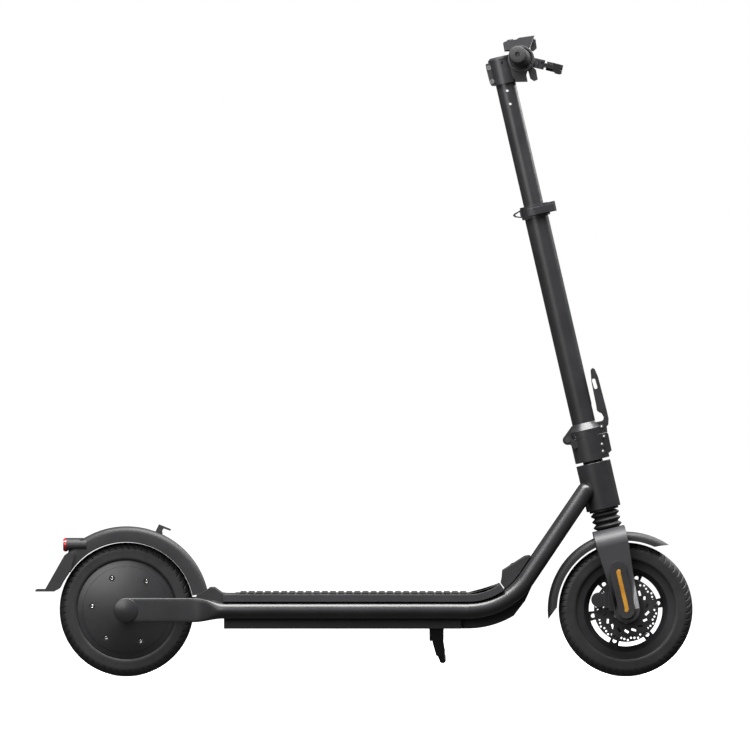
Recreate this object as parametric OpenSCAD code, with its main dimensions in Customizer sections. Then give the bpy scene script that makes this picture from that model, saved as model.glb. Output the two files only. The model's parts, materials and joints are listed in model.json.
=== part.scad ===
// Electric kick scooter: twin-tube frame, hub motor, folding telescopic stem, front suspension.
// Forward is +X, the rider's left is +Y, up is +Z, and the wheels stand on Z = 0.

/* [Overall] */
// Distance between the two axles
wheelbase = 948; // [800:1:1050]
// Radius of both tyres
tyre_r = 127; // [118:1:135]
// How far the plate lip reaches behind the rear axle
rear_overhang = 172; // [165:1:200]
// Tilt of the steering axis from the vertical
steer_angle = 13; // [8:0.5:18]
// How far the steering axis passes ahead of the front axle
axis_lead = 2.6; // [0:0.1:6]
// Width across the grips
bar_w = 500; // [440:1:620]

/* [Wheels] */
// Width of a tyre
tyre_w = 54; // [46:1:60]
// Radius of the tyre's bead
bead_r = 94; // [90:1:98]
// Rounding of the tyre's shoulder
shoulder_r = 16; // [10:1:20]
// Thickness of the tyre's casing
casing_t = 5; // [3:0.5:8]
// Width of a rim across its flanges
rim_w = 44; // [36:1:46]
// Radius of the opening inside the front rim
rim_open_r = 70; // [66:1:76]
// Number of spokes in the front rim
spoke_n = 6; // [3:1:8]
// Radius of the front hub
hub_r = 34; // [26:1:40]
// Radius of the motor's screwed covers
cover_r = 82; // [78:1:86]
// Number of screws in a motor cover
cover_screw_n = 6; // [4:1:10]
// Radius of the circle of cover screws
cover_screw_pitch_r = 65.5; // [56:0.5:72]
// Radius of the wheel axles
axle_r = 6; // [5:0.5:8]
// Radius of the brake rotor
rotor_r = 61; // [55:1:65]
// Thickness of the brake rotor
rotor_t = 2.4; // [1.8:0.1:3]

/* [Frame] */
// Radius of a frame tube
tube_r = 15.9; // [13:0.1:19]
// Wall of a frame tube
tube_wall = 2.5; // [1.5:0.1:4]
// Sideways place of a tube along the deck
deck_tube_y = 72; // [66:1:84]
// Sideways place of a tube at the head tube
neck_tube_y = 27; // [24:0.5:32]
// Height of the tubes along the deck
tube_z = 127; // [120:1:140]
// Radius of the bend, seen from the side
bend_r = 134; // [120:1:150]
// Slope of the down tubes, seen from the side
down_angle = 55.9; // [50:0.1:62]
// Where the bend starts, ahead of the rear axle
bend_x = 647.5; // [500:0.5:700]
// Radius of the head tube
head_r = 33; // [30:0.5:38]
// Radius of the steerer tube
steerer_r = 19; // [17:0.5:21]
// Width between the rear arms
arm_gap = 116; // [108:1:124]
// Thickness of a rear arm
arm_t = 10; // [8:0.5:14]
// Half the height of a rear arm
arm_h = 23; // [18:0.5:26]

/* [Deck] */
// Where the deck starts, ahead of the rear axle
deck_x = 184; // [178:1:200]
// Half the width of the deck
deck_half = 84; // [78:1:100]
// Height of the deck plate's top
deck_top = 157; // [150:1:170]
// Height of a rib on the mat
rib_h = 3.7; // [2:0.1:6]
// Spacing of the ribs on the mat
rib_pitch = 15.5; // [12:0.5:24]
// Bottom of the battery tray
tray_z = 91.5; // [80:0.5:100]
// Wall of the battery tray
tray_wall = 3; // [2:0.5:5]

/* [Fenders] */
// Thickness of a fender's shell
fender_t = 3; // [2:0.5:4]
// Half the width of a fender
fender_half = 35; // [32:0.5:38]
// Outer radius of the rear fender
rear_fender_r = 158; // [154:1:166]
// Inner radius of the rear fender's skirt
rear_skirt_r = 132.6; // [131:0.1:140]
// Outer radius of the front fender
front_fender_r = 148; // [144:0.5:149]
// Inner radius of the front fender's skirt
front_skirt_r = 131; // [129:0.5:135]
// Radius of the tail lamp
tail_lamp_r = 12.7; // [10:0.1:14]

/* [Fork] */
// Thickness of a fork leg
leg_t = 10; // [8:0.5:12]
// Distance between the fork legs
leg_gap = 104; // [100:1:112]
// Width of the fork crown, front to back
crown_w = 62; // [54:1:66]
// Thickness of the fork crown
crown_t = 8; // [6:0.5:8]
// Rounding of the crown's shoulders
crown_r = 32; // [20:1:36]
// Travel of the front suspension
fork_travel = 20; // [10:1:24]

/* [Stem] */
// Radius of the lower stem tube
stem_r = 22.6; // [21.5:0.1:26]
// Radius of the sliding upper tube
upper_r = 19.05; // [17:0.05:20]
// Wall of the upper tube
upper_wall = 3; // [2:0.1:4]
// Travel of the height adjustment
height_travel = 200; // [100:1:205]
// Radius of the cross holes in the upper tube
cross_hole_r = 2.75; // [2:0.05:4]
// Spacing of the cross holes
cross_hole_pitch = 25.8; // [20:0.1:32]
// Radius of the fold pin
fold_pin_r = 5; // [4:0.5:6]
// Radius of the latch pins
latch_pin_r = 3.8; // [3:0.1:4.5]

/* [Handlebar] */
// Radius of the handlebar
bar_r = 11.1; // [10:0.1:12]
// Radius of a grip
grip_r = 16.7; // [15:0.1:18]
// Length of a grip
grip_l = 120; // [100:1:130]
// Radius of the throttle's ring housing
ring_r = 25; // [20:0.5:27]

/* [Kickstand] */
// Sideways tilt of the kickstand's leg
splay = 35; // [20:1:40]
// Where the kickstand stands, ahead of the rear axle
stand_x = 589; // [450:1:620]
// Sideways place of the kickstand
stand_y = 36; // [20:1:38]

/* [Clearances] */
// Running clearance of a shaft in its hole, on the radius
run_gap = 0.05; // [0.02:0.01:0.1]
// Gap between pieces that move past each other
body_gap = 0.4; // [0.3:0.1:1]

/* [Hidden] */
$fn = 64;
eps = 0.01;
big = 400;
axle_z = tyre_r;
rear_x = -(wheelbase + tyre_r - rear_overhang) / 2;
front_x = rear_x + wheelbase;
tube_top = tube_z + tube_r;

// Places along the steering axis, measured up from the front axle
crown_top = front_fender_r + crown_t + 1;
boot_low = crown_top + 0.3;
head_low = 196;
head_high = 285;
base_low = 290;
base_high = 335.7;
flange_low = base_high + 0.6;
flange_high = 350;
taper_high = 363;
stem_top = 770;
collar_low = 764;
collar_high = 788;
head_clamp_low = 1025;
head_clamp_high = 1077;
upper_low = 562;
bearing_r = 26;
bearing_h = 10;
fold_f = -37.6;
fold_s = 338;
lever_f = 31.2;
lever_s = 349.6;
bar_f = 37.4;
bar_s = 1060;
cross_s = 998;
clamp_bolt_f = -24.5;
clamp_bolts = [1034, 1061];
latch_pins = [[31.4, 330.5], [24.3, 317], [23.2, 303.5]];
quick_f = 32.4;
quick_y = -21;
bracket_half = 15;
slot_half = 7;
knuckle_half = 13.6;
lug_outer = 25;
knuckle_r = 9;
cam_r = 9;

// The frame tubes' bend lies in a plane that leans inward
neck_rise = 221;
lean = atan((deck_tube_y - neck_tube_y) / neck_rise);
bend_angle = atan(tan(down_angle) / cos(lean));
rise_run = (neck_rise - bend_r * (1 - cos(bend_angle)) * cos(lean)) / (sin(bend_angle) * cos(lean));
bend_z = tube_z + bend_r;
arm_end = 183;
deck_under_r = bend_r - tube_r;
deck_top_r = bend_z - deck_top;

// ---- Frames of reference ----
module rear_frame() { translate([rear_x, 0, axle_z]) children(); }
module front_frame() { translate([front_x, 0, axle_z]) children(); }
module side_frame() { translate([rear_x, 0, 0]) children(); }
module steer_frame() {
  translate([front_x, 0, axle_z]) rotate([0, -steer_angle, 0]) translate([axis_lead, 0, 0]) children();
}
module bar_frame() { steer_frame() translate([bar_f, 0, bar_s]) rotate([0, steer_angle, 0]) children(); }

// A flat shape in the X-Z plane, made wide along Y and centred on y
module slab(w, y = 0) {
  translate([0, y + w / 2, 0]) rotate([90, 0, 0]) linear_extrude(w) children();
}
// A cylinder along Y, centred
module ycyl(r, w, y = 0) {
  translate([0, y, 0]) rotate([90, 0, 0]) cylinder(r = r, h = w, center = true);
}
// A shape turned about the Y axis: the profile's X is the radius and its Y runs sideways
module wheel_turn(a = 360, from = 0) {
  rotate([90, 0, 0]) rotate_extrude(angle = a, start = from) children();
}
module both_sides() {
  children();
  mirror([0, 1, 0]) children();
}
function polar(r, a) = [r * cos(a), r * sin(a)];

// ---- Frame ----
module head_tube() {
  color([0.13, 0.13, 0.14]) steer_frame() difference() {
    translate([0, 0, head_low]) cylinder(r = head_r, h = head_high - head_low);
    translate([0, 0, head_low - 1]) cylinder(r = steerer_r + 5, h = big);
    translate([0, 0, head_low - 1]) cylinder(r = bearing_r, h = bearing_h + 1);
    translate([0, 0, head_high - bearing_h]) cylinder(r = bearing_r, h = bearing_h + 1);
  }
}

// A tube's path on one side: deck run, bend, then the rise to its closed end beside the head tube
module tube_path(r, side, start, end_run) {
  translate([0, side * deck_tube_y, tube_z]) rotate([side * lean, 0, 0]) {
    translate([start, 0, 0]) rotate([0, 90, 0]) cylinder(r = r, h = bend_x - start);
    translate([bend_x, 0, bend_r]) rotate([90, 0, 0])
      rotate_extrude(angle = bend_angle, start = -90) translate([bend_r, 0]) circle(r = r);
    translate([bend_x + bend_r * sin(bend_angle), 0, bend_r * (1 - cos(bend_angle))])
      rotate([0, 90 - bend_angle, 0]) {
        cylinder(r = r, h = end_run);
        translate([0, 0, end_run]) cylinder(r1 = r, r2 = 0.75 * r, h = 9);
      }
  }
}

// The flattened end that carries the axle
module arm_blank(side) {
  arm_y = side * (arm_gap + arm_t) / 2;
  translate([0, 0, tube_z]) {
    slab(arm_t, arm_y) {
      circle(r = arm_h);
      translate([0, -arm_h]) square([132, 2 * arm_h]);
    }
    hull() {
      translate([130, 0, 0]) slab(arm_t, arm_y) translate([0, -arm_h]) square([2, 2 * arm_h]);
      translate([arm_end, side * deck_tube_y, 0]) rotate([0, 90, 0])
        cylinder(r = tube_r - 0.4, h = 1, $fn = 32);
    }
  }
}

module frame_tube(side) {
  difference() {
    side_frame() {
      tube_path(tube_r, side, arm_end, rise_run + 6);
      arm_blank(side);
    }
    side_frame() tube_path(tube_r - tube_wall, side, arm_end + 3, rise_run + 3);
    steer_frame() translate([0, 0, head_low - 60]) cylinder(r = head_r, h = big);
    rear_frame() ycyl(axle_r, big);
  }
}
module frame_tube_right() { color([0.16, 0.16, 0.17]) frame_tube(-1); }
module frame_tube_left() { color([0.16, 0.16, 0.17]) frame_tube(1); }

module bearing(outer, inner, h) {
  difference() {
    cylinder(r = outer, h = h);
    translate([0, 0, -1]) cylinder(r = inner, h = h + 2);
  }
}
module headset_bearings() {
  color("silver") steer_frame() for (s = [head_low, head_high - bearing_h])
    translate([0, 0, s]) bearing(bearing_r, steerer_r + run_gap, bearing_h);
}

// ---- Deck ----
// The curve that the deck and tray follow up into the neck
module bend_band(r_in, r_out, a) {
  translate([bend_x, bend_z]) intersection() {
    difference() {
      circle(r = r_out, $fn = 128);
      circle(r = r_in, $fn = 128);
    }
    polygon([[0, 0], [0, -big], polar(2 * big, a - 90), polar(big, a - 90)]);
  }
}
tray_x = deck_x + 1.5;
nose_a = 56;
nose_half = deck_tube_y - tube_r - 14;
tray_half = deck_tube_y - tube_r - 1;
module tray_outline(inset) {
  difference() {
    union() {
      translate([tray_x + inset, tray_z + inset])
        square([bend_x - tray_x - inset + eps, tube_top - tray_z - inset]);
      bend_band(deck_under_r, bend_z - tray_z - inset, nose_a);
    }
    // the nose's end rises to meet the tubes' lower side
    translate([bend_x, bend_z]) polygon([
      polar(bend_z - tray_z - inset, -90 + 31), polar(bend_r + tube_r + 10 - inset, -90 + 43),
      polar(bend_r + tube_r - inset, -90 + nose_a), polar(bend_r + tube_r - inset, -90 + 75),
      polar(big, -90 + 75), polar(big, -90 + 31)
    ]);
  }
}
module battery_tray() {
  color([0.1, 0.1, 0.105]) side_frame() difference() {
    intersection() {
      slab(2 * tray_half) tray_outline(0);
      union() {
        slab(2 * tray_half) square([bend_x - 12, big]);
        slab(2 * nose_half) square([bend_x + big, big]);
      }
    }
    slab(2 * (nose_half - tray_wall)) difference() {
      tray_outline(tray_wall);
      translate([bend_x + 40, 0]) square([big, big]);
    }
  }
}
module battery_pack() {
  color("royalblue") side_frame() translate([tray_x + 12, -34, tray_z + tray_wall + 0.5])
    cube([340, 68, 42]);
}
module controller() {
  color("silver") side_frame() translate([tray_x + 365, -32, tray_z + tray_wall + 0.5]) {
    cube([80, 64, 4]);
    translate([0, 0, 4]) cube([80, 64, 24]);
    for (i = [0:6]) translate([4 + i * 11, 0, 28]) cube([4, 64, 6]);
  }
}

deck_sweep = 36;
module deck_plate() {
  color([0.2, 0.2, 0.21]) side_frame() slab(2 * deck_half) {
    translate([deck_x, tube_top]) square([bend_x - deck_x + eps, deck_top - tube_top]);
    bend_band(deck_top_r, deck_under_r, deck_sweep);
  }
}
mat_t = 1.2;
rib_n = floor((bend_x - deck_x - 30) / rib_pitch);
module deck_mat() {
  color([0.09, 0.09, 0.09]) side_frame() slab(2 * deck_half - 12) {
    translate([deck_x + 22, deck_top]) square([bend_x - deck_x - 22 + eps, mat_t]);
    bend_band(deck_top_r - mat_t, deck_top_r, deck_sweep - 3);
    for (i = [0:rib_n]) translate([bend_x - (i + 0.85) * rib_pitch, deck_top])
      square([0.72 * rib_pitch, rib_h]);
  }
}

cover_half = 60;
module cover_outline(inset) {
  intersection() {
    polygon([
      [bend_x + 60 + inset, 160], [bend_x + 65.5 + inset, 187], [bend_x + 66.5 + inset, 201 - inset / 2],
      [bend_x + 109, 228.3 - inset], [bend_x + 117 - inset, 229.9 - inset], [bend_x + 124.5 - inset, 228.3],
      [bend_x + 112 - inset, 205], [bend_x + 92 - inset, 176], [bend_x + 84 - inset, 150]
    ]);
    translate([bend_x, bend_z]) circle(r = 127, $fn = 96);
    difference() {
      translate([bend_x, bend_z - 150]) square([big, 200]);
      translate([bend_x, bend_z]) difference() {
        polygon([[0, 0], [0, -big], polar(2 * big, nose_a - 89), polar(100, nose_a - 89)]);
        circle(r = deck_under_r - 1.5, $fn = 128);
      }
      // the tubes rise past the cover's front
      translate([bend_x, bend_z]) rotate(down_angle) translate([-1, -big])
        square([big, big - deck_under_r + 1.5]);
      // the plate's own curve stays free under the cover
      translate([bend_x, bend_z]) polygon([
        [0, 0], [0, -big], polar(2 * big, deck_sweep - 89), [0, 0]
      ]);
    }
  }
}
module front_cover() {
  color([0.17, 0.17, 0.18]) side_frame() difference() {
    slab(2 * cover_half) cover_outline(0);
    slab(2 * cover_half - 6) cover_outline(3);
    translate([port_x, 0, port_z]) rotate([-90, 0, 0]) cylinder(r = port_r, h = big);
  }
}

port_r = 7;
port_x = bend_x + 89;
port_z = 206;
socket_r = 4;
module charge_port() {
  color("gray") side_frame() translate([port_x, cover_half - 8, port_z]) rotate([-90, 0, 0])
    difference() {
      cylinder(r = port_r, h = 8);
      translate([0, 0, 1]) cylinder(r = socket_r, h = 8);
      translate([0, 0, 6.4]) cylinder(r = port_r - 1.2, h = 8);
    }
}
cap_t = 2.2;
cap_half = 4;
cap_drop = port_r + 7;
module charge_cap() {
  color([0.08, 0.08, 0.08]) side_frame() translate([port_x, cover_half + body_gap, port_z]) {
    rotate([-90, 0, 0]) cylinder(r = port_r + 2, h = cap_t);
    translate([-cap_half, 0, -cap_drop]) cube([2 * cap_half, cap_t, cap_drop - port_r / 2]);
    // hinge barrel
    translate([-cap_half, cap_t / 2, -cap_drop]) rotate([0, 90, 0]) cylinder(d = cap_t, h = 2 * cap_half);
  }
}

block_y = 52;
module rear_block() {
  color([0.14, 0.14, 0.15]) difference() {
    side_frame() slab(2 * block_y) polygon([
      [133, tube_top + 5], [133, 154.5], [155, 166], [157.6, 169.1], [167.4, 169.1], [182, deck_top + 1.6],
      [188, deck_top + 1], [188, deck_top], [deck_x, deck_top], [deck_x, tube_top]
    ]);
    rear_frame() ycyl(rear_fender_r + 0.1, 2 * fender_half + 0.4, $fn = 180);
  }
}

// ---- Fenders ----
// Half of a fender's cross-section: crown, bent skirt, and its hollow
module fender_half_section(r_out, r_in, inset) {
  w = fender_half - inset;
  r = r_out - inset;
  polygon([[r_in - inset - 1, 0], [r, 0], [r, w - 14], [r - 2.5, w - 7], [r - 9, w], [r_in - inset - 1, w]]);
}
module fender_section(r_out, r_in) {
  for (m = [0, 1]) mirror([0, m]) difference() {
    fender_half_section(r_out, r_in + 1, 0);
    fender_half_section(r_out, r_in - 5, fender_t);
  }
}
module rear_fender() {
  color([0.17, 0.17, 0.18]) rear_frame() wheel_turn(122, 12)
    fender_section(rear_fender_r, rear_skirt_r);
}
hook_half = 9;
module fender_hook() {
  color([0.15, 0.15, 0.16]) rear_frame() difference() {
    slab(2 * hook_half) translate([0, -axle_z]) polygon([
      [54, 270], [55.5, 276.7], [61.5, 289], [65, 287.5], [84.5, 279.5], [83.2, 276.4], [70, 281],
      [67.5, 276], [68.5, 270]
    ]);
    ycyl(rear_fender_r, big, $fn = 180);
  }
}
lamp_z = 250;
module plate_holder() {
  color([0.14, 0.14, 0.15]) difference() {
    side_frame() {
      slab(92) polygon([
        [-108, 237], [-117, 230.7], [-154.2, 165.2], [-rear_overhang, 165.2], [-rear_overhang, 161.8],
        [-136, 161.8], [-136, 164.8], [-150.5, 164.8], [-113.5, 229]
      ]);
      for (y = [-44.5, 44.5]) slab(3, y) polygon([
        [-98, 234], [-117, 230.7], [-154.2, 165.2], [-136, 162.3], [-127.5, 166.4], [-120.2, 179.8],
        [-104, 205]
      ]);
    }
    for (y = [-plate_hole_y, plate_hole_y])
      side_frame() translate([-134, y, 198]) rotate([0, -60.4, 0])
        cylinder(r = 2.6, h = 60, center = true);
    // room for the fender's end
    intersection() {
      rear_frame() ycyl(rear_fender_r + 0.1, 2 * fender_half + 2, $fn = 180);
      side_frame() translate([-big, -big / 2, plate_top]) cube(big);
    }
  }
}
plate_hole_y = 30;
plate_top = 226;
lamp_half = fender_half + 3;
lamp_x = -113.5;
// The lamp's outline across the fender, grown forward by l
module lamp_bar(r, half, l) {
  rotate([0, 90, 0]) linear_extrude(l) {
    translate([-r, r - half]) square([2 * r, 2 * (half - r)]);
    for (m = [-1, 1]) translate([0, m * (half - r)]) circle(r = r);
  }
}
module tail_lamp_housing() {
  color([0.12, 0.12, 0.13]) difference() {
    side_frame() translate([lamp_x, 0, lamp_z]) lamp_bar(tail_lamp_r, lamp_half, 38);
    side_frame() translate([lamp_x - 1, 0, lamp_z]) lamp_bar(tail_lamp_r - 2, lamp_half - 2, 3.6);
    rear_frame() ycyl(rear_fender_r + 0.1, 2 * fender_half + 0.2, $fn = 180);
  }
}
module tail_lamp_lens() {
  color([0.65, 0.08, 0.1]) side_frame() {
    translate([lamp_x - 4.3, 0, lamp_z]) lamp_bar(tail_lamp_r, lamp_half, 4.3);
    translate([lamp_x - 6.3, 0, lamp_z]) lamp_bar(tail_lamp_r - 1.5, lamp_half - 1.5, 2);
    translate([lamp_x, 0, lamp_z]) lamp_bar(tail_lamp_r - 2.2, lamp_half - 2.2, 2.4);
  }
}

// ---- Rear axle and kickstand mount ----
module motor_stator() {
  color("orangered") rear_frame() {
    ycyl(axle_r, arm_gap + 2 * arm_t + 4);
    difference() {
      ycyl(72, 26);
      ycyl(50, 27);
      for (i = [0:26]) rotate([0, i * 360 / 27, 0]) translate([0, -20, 58]) cube([3, 40, 30]);
    }
    difference() {
      ycyl(51, 12);
      for (i = [0:5]) rotate([0, i * 60, 0]) translate([33, 0, 0]) ycyl(9, 20);
    }
    both_sides() translate([0, (arm_gap / 2 + motor_half) / 2, 0]) ycyl(journal_r, arm_gap / 2 - motor_half);
  }
}
module axle_covers() {
  color([0.18, 0.18, 0.19]) rear_frame() both_sides()
    translate([0, arm_gap / 2 + arm_t, 0]) rotate([-90, 0, 0]) difference() {
      union() {
        cylinder(r = arm_h, h = 2);
        translate([0, 0, 2]) cylinder(r1 = arm_h, r2 = arm_h - 1.5, h = 1);
      }
      translate([0, 0, -1]) cylinder(r = axle_r, h = 3);
    }
}
stand_z = 79;
barrel_r = 6.5;
module kickstand_bracket() {
  color([0.07, 0.07, 0.07]) side_frame() difference() {
    union() {
      translate([stand_x - 14, stand_y - 20, tray_z - 3]) cube([28, 38, 3]);
      for (side = [-1, 1]) stand_frame() translate([0, side * 8.5, 0]) {
        ycyl(barrel_r + 2, 4);
        translate([-13.6, -2, -barrel_r - 2]) cube([27.2, 4, 26]);
      }
      stand_frame() ycyl(3.5, 20);
    }
    translate([stand_x - 50, stand_y - 50, tray_z]) cube([100, 100, 40]);
  }
}
module stand_frame() { translate([stand_x, stand_y, stand_z]) rotate([splay, 0, 0]) children(); }
stand_k = 1 / cos(splay);
module kickstand_leg() {
  color([0.06, 0.06, 0.06]) side_frame() stand_frame() difference() {
    union() {
      ycyl(barrel_r, 12.4);
      slab(12.4) polygon([
        [-6.4, -1], [6.4, 1], [12, -9 * stand_k], [16.5, -34 * stand_k], [14.5, -37 * stand_k],
        [17.5, -46.5 * stand_k], [6, -47.5 * stand_k], [2, -39 * stand_k], [-0.8, -38 * stand_k],
        [-8, -12 * stand_k]
      ]);
      translate([11.8, 0, -46.5 * stand_k]) ycyl(6.4, 16);
    }
    ycyl(3.5 + run_gap, 30);
  }
}

// ---- Tyres and rear wheel ----
module tyre_section() {
  for (m = [0, 1]) mirror([0, m]) difference() {
    tyre_quarter(tyre_w / 2, tyre_r, shoulder_r, bead_r);
    tyre_quarter(tyre_w / 2 - casing_t, tyre_r - casing_t, shoulder_r - casing_t, bead_r - 1);
  }
}
module tyre_quarter(half, top, r, low) {
  translate([low, 0]) square([top - r - low, half]);
  translate([low, 0]) square([top - low, half - r]);
  translate([top - r, half - r]) circle(r = r);
}
module rear_tyre() { color([0.11, 0.11, 0.11]) rear_frame() wheel_turn() tyre_section(); }
module front_tyre() { color([0.11, 0.11, 0.11]) front_frame() wheel_turn() tyre_section(); }

motor_half = 26;
journal_r = 10;
module motor_shell() {
  color([0.15, 0.15, 0.16]) rear_frame() difference() {
    wheel_turn() for (m = [0, 1]) mirror([0, m]) polygon([
      [73.6, 0], [73.6, 17], [cover_r - 4, 17], [cover_r - 4, 22], [cover_r + 0.5, 22],
      [cover_r + 0.5, motor_half - 1], [bead_r - 1, motor_half - 3], [bead_r, motor_half - 4],
      [bead_r, tyre_w / 2 - casing_t], [bead_r - 3, 16], [bead_r - 5, 0]
    ]);
    translate([0, 0, -bead_r - 5]) cylinder(r = 4, h = 12);
  }
}
module motor_covers() {
  color([0.2, 0.2, 0.21]) rear_frame() both_sides() difference() {
    wheel_turn() polygon([
      [journal_r + run_gap, 34], [30, 34], [cover_r - 8, motor_half + 1.5], [cover_r, motor_half],
      [cover_r, 22], [cover_r - 4, 22], [cover_r - 4, 17.1], [cover_r - 8, 17.1], [cover_r - 8, 22], [30, 30],
      [journal_r + run_gap, 30]
    ]);
    for (i = [0:cover_screw_n - 1]) rotate([0, -screw_a(i), 0]) translate([cover_screw_pitch_r, 0, 0]) {
      ycyl(2.2, big);
      translate([0, -motor_half - 5, 0]) ycyl(5.8, 8);
    }
  }
}
function screw_a(i) = 54.5 + i * 360 / cover_screw_n;
module cover_screws() {
  color("silver") rear_frame() both_sides()
    for (i = [0:cover_screw_n - 1]) rotate([0, -screw_a(i), 0]) translate([cover_screw_pitch_r, 0, 0])
      difference() {
        union() {
          ycyl(2.2, 7, -motor_half + 2.5);
          ycyl(3.6, 2.4, -motor_half - 2.2);
        }
        translate([0, -motor_half - 3, 0]) rotate([90, 0, 0]) cylinder(r = 1.5, h = 3, $fn = 6, center = true);
      }
}

// ---- Steerer ----
module steerer_tube() {
  color([0.3, 0.3, 0.31]) steer_frame() difference() {
    union() {
      translate([0, 0, head_low - 6]) cylinder(r = steerer_r, h = base_low + 12 - head_low + 6);
      translate([0, 0, head_low - 4]) cylinder(r = bearing_r + 2, h = 4 - body_gap);
    }
    translate([0, 0, head_low - 10]) cylinder(r = steerer_r - 4, h = big);
  }
}
module fold_base() {
  color([0.16, 0.16, 0.17]) steer_frame() difference() {
    union() {
      translate([0, 0, base_low]) cylinder(r = head_r, h = base_high - base_low);
      slab(2 * bracket_half) polygon([
        [18, base_low + 4], [28.4, base_low + 4.5], [39.4, base_low + 10.5], [40.1, base_high - 3],
        [38.4, base_high], [18, base_high]
      ]);
      slab(2 * lug_outer) {
        translate([fold_f, fold_s]) circle(r = knuckle_r);
        polygon([
          [fold_f - 8.6, fold_s - 2.6], [-33.7, 327.2], [-30, 320], [-14, 320], [-14, base_high],
          [fold_f + 8.6, base_high]
        ]);
      }
    }
    // the stem's knuckle turns between the lugs
    translate([fold_f, 0, fold_s]) ycyl(knuckle_r + body_gap, 2 * (knuckle_half + body_gap));
    translate([fold_f, 0, fold_s]) ycyl(fold_pin_r, big);
    translate([lever_f - cam_r - body_gap, -slot_half, base_high - 12]) cube([60, 2 * slot_half, 60]);
    for (p = latch_pins) translate([p[0], 0, p[1]]) ycyl(latch_pin_r, big);
    translate([0, 0, base_low - 1]) cylinder(r = steerer_r, h = 13);
  }
}
module base_pins() {
  color("silver") steer_frame() {
    for (p = latch_pins) translate([p[0], 0, p[1]]) difference() {
      ycyl(latch_pin_r, 2 * bracket_half + 2);
      ycyl(1.8, big);
    }
    translate([fold_f, 0, fold_s]) ycyl(fold_pin_r, 2 * lug_outer + 3);
  }
}
module bellows() {
  low = boot_low;
  high = head_low - 4.3;
  ring = (high - low) / 3;
  color([0.1, 0.1, 0.1]) steer_frame() rotate_extrude() difference() {
    polygon([
      [20, low], [25, low], [28, low + ring / 2], [22, low + ring], [28, low + 1.5 * ring],
      [22, low + 2 * ring], [28, low + 2.5 * ring], [25, high], [20, high]
    ]);
    square([18, 1]);
  }
}
module suspension_spring() {
  coil_r = 11;
  wire_r = 1.6;
  low = 240;
  high = base_low + 12;
  color("silver") steer_frame() rotate_extrude() for (i = [0:19])
    translate([coil_r, low + wire_r + i * (high - low - 2 * wire_r) / 19]) circle(r = wire_r);
}

// ---- Fork ----
module leg_outline() {
  polygon([
    [-crown_w / 2, crown_top], [crown_w / 2, crown_top], [crown_w / 2 - 0.5, 120], [26, 68], [23.5, 0],
    [-23.5, 0], [-26, 68], [-crown_w / 2 + 0.5, 120]
  ]);
  translate([-axis_lead / 2, 0]) circle(r = 23.5 + axis_lead / 2);
}
module u_shape(half, top, r) {
  translate([-half, -30]) square([2 * half, top - r + 30]);
  translate([-half + r, -30]) square([2 * (half - r), top + 30]);
  for (m = [-1, 1]) translate([m * (half - r), top - r]) circle(r = r);
}
leg_in = leg_gap / 2;
leg_out = leg_in + leg_t;
module fork_legs() {
  color([0.19, 0.19, 0.2]) steer_frame() difference() {
    intersection() {
      rotate([90, 0, 90]) linear_extrude(100, center = true) difference() {
        u_shape(leg_out, crown_top, crown_r);
        translate([0, 0]) u_shape(leg_in, crown_top - crown_t, crown_r - crown_t);
        translate([-leg_in, -40]) square([2 * leg_in, 20]);
      }
      slab(2 * leg_out + 2) leg_outline();
    }
    translate([-axis_lead, 0, 0]) ycyl(axle_r, big);
    translate([0, 0, 100]) cylinder(r = steerer_r - 4 - run_gap, h = big);
  }
}
module fork_slider() {
  color("silver") steer_frame() translate([0, 0, crown_top - crown_t]) difference() {
    cylinder(r = steerer_r - 4 - run_gap, h = 239.5 - crown_top + crown_t);
    translate([0, 0, -1]) cylinder(r = steerer_r - 8, h = 70);
  }
}
module front_fender() {
  color([0.17, 0.17, 0.18]) front_frame() difference() {
    wheel_turn(131, 56) fender_section(front_fender_r, front_skirt_r);
    // slanted cuts at both ends
    for (cut = [[56, 65.5], [187, 178]]) slab(big) polygon([
      polar(front_fender_r, cut[0]), polar(front_skirt_r - 8, cut[1] + (cut[1] - cut[0]) * 0.45),
      polar(front_skirt_r - 8, cut[0] - (cut[1] - cut[0])), polar(front_fender_r + 9, cut[0] - (cut[1] - cut[0]))
    ]);
  }
}
module front_axle() {
  color("silver") front_frame() {
    ycyl(axle_r, 2 * leg_out + 2);
    both_sides() translate([0, leg_out, 0]) rotate([-90, 0, 0]) cylinder(r = 9.5, h = 3);
    both_sides() translate([0, (leg_in + 33) / 2, 0]) ycyl(9, leg_in - 33);
  }
}
caliper = [-52, 19];
module brake_caliper() {
  color([0.2, 0.2, 0.21]) front_frame() difference() {
    union() {
      translate([caliper[0], rotor_y, caliper[1]]) ycyl(14, 17);
      translate([caliper[0] + 2, rotor_y - 4, caliper[1] - 12]) cube([18.6, 7.6, 24]);
      translate([-33, -leg_in, -2]) cube([14, 6.4, 34]);
      translate([-42, -leg_in + 1.4, 4]) cube([16, 5, 30]);
    }
    translate([-90, rotor_y - rotor_t / 2 - 0.8, -60]) cube([120, rotor_t + 1.6, 120]);
  }
}
rotor_y = -41;
reflector_r = 15.7;
reflector_l = 79;
module capsule(r, l) {
  translate([-axis_lead, 0]) circle(r = r);
  translate([-r - axis_lead / 2, 0]) square([2 * r, l]);
  translate([0, l]) circle(r = r);
}
module reflector_bases() {
  color([0.15, 0.15, 0.16]) steer_frame() both_sides() difference() {
    slab(6, leg_out + 3) capsule(reflector_r, reflector_l);
    translate([-axis_lead, leg_out + 1.2, 0]) ycyl(10, 4.6);
    slab(4, leg_out + 6) capsule(3.8, reflector_l - 4);
  }
}
module reflector_strips() {
  color([0.75, 0.5, 0.15]) steer_frame() both_sides() slab(2.4, leg_out + 5.2)
    capsule(3.8, reflector_l - 4);
}

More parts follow.
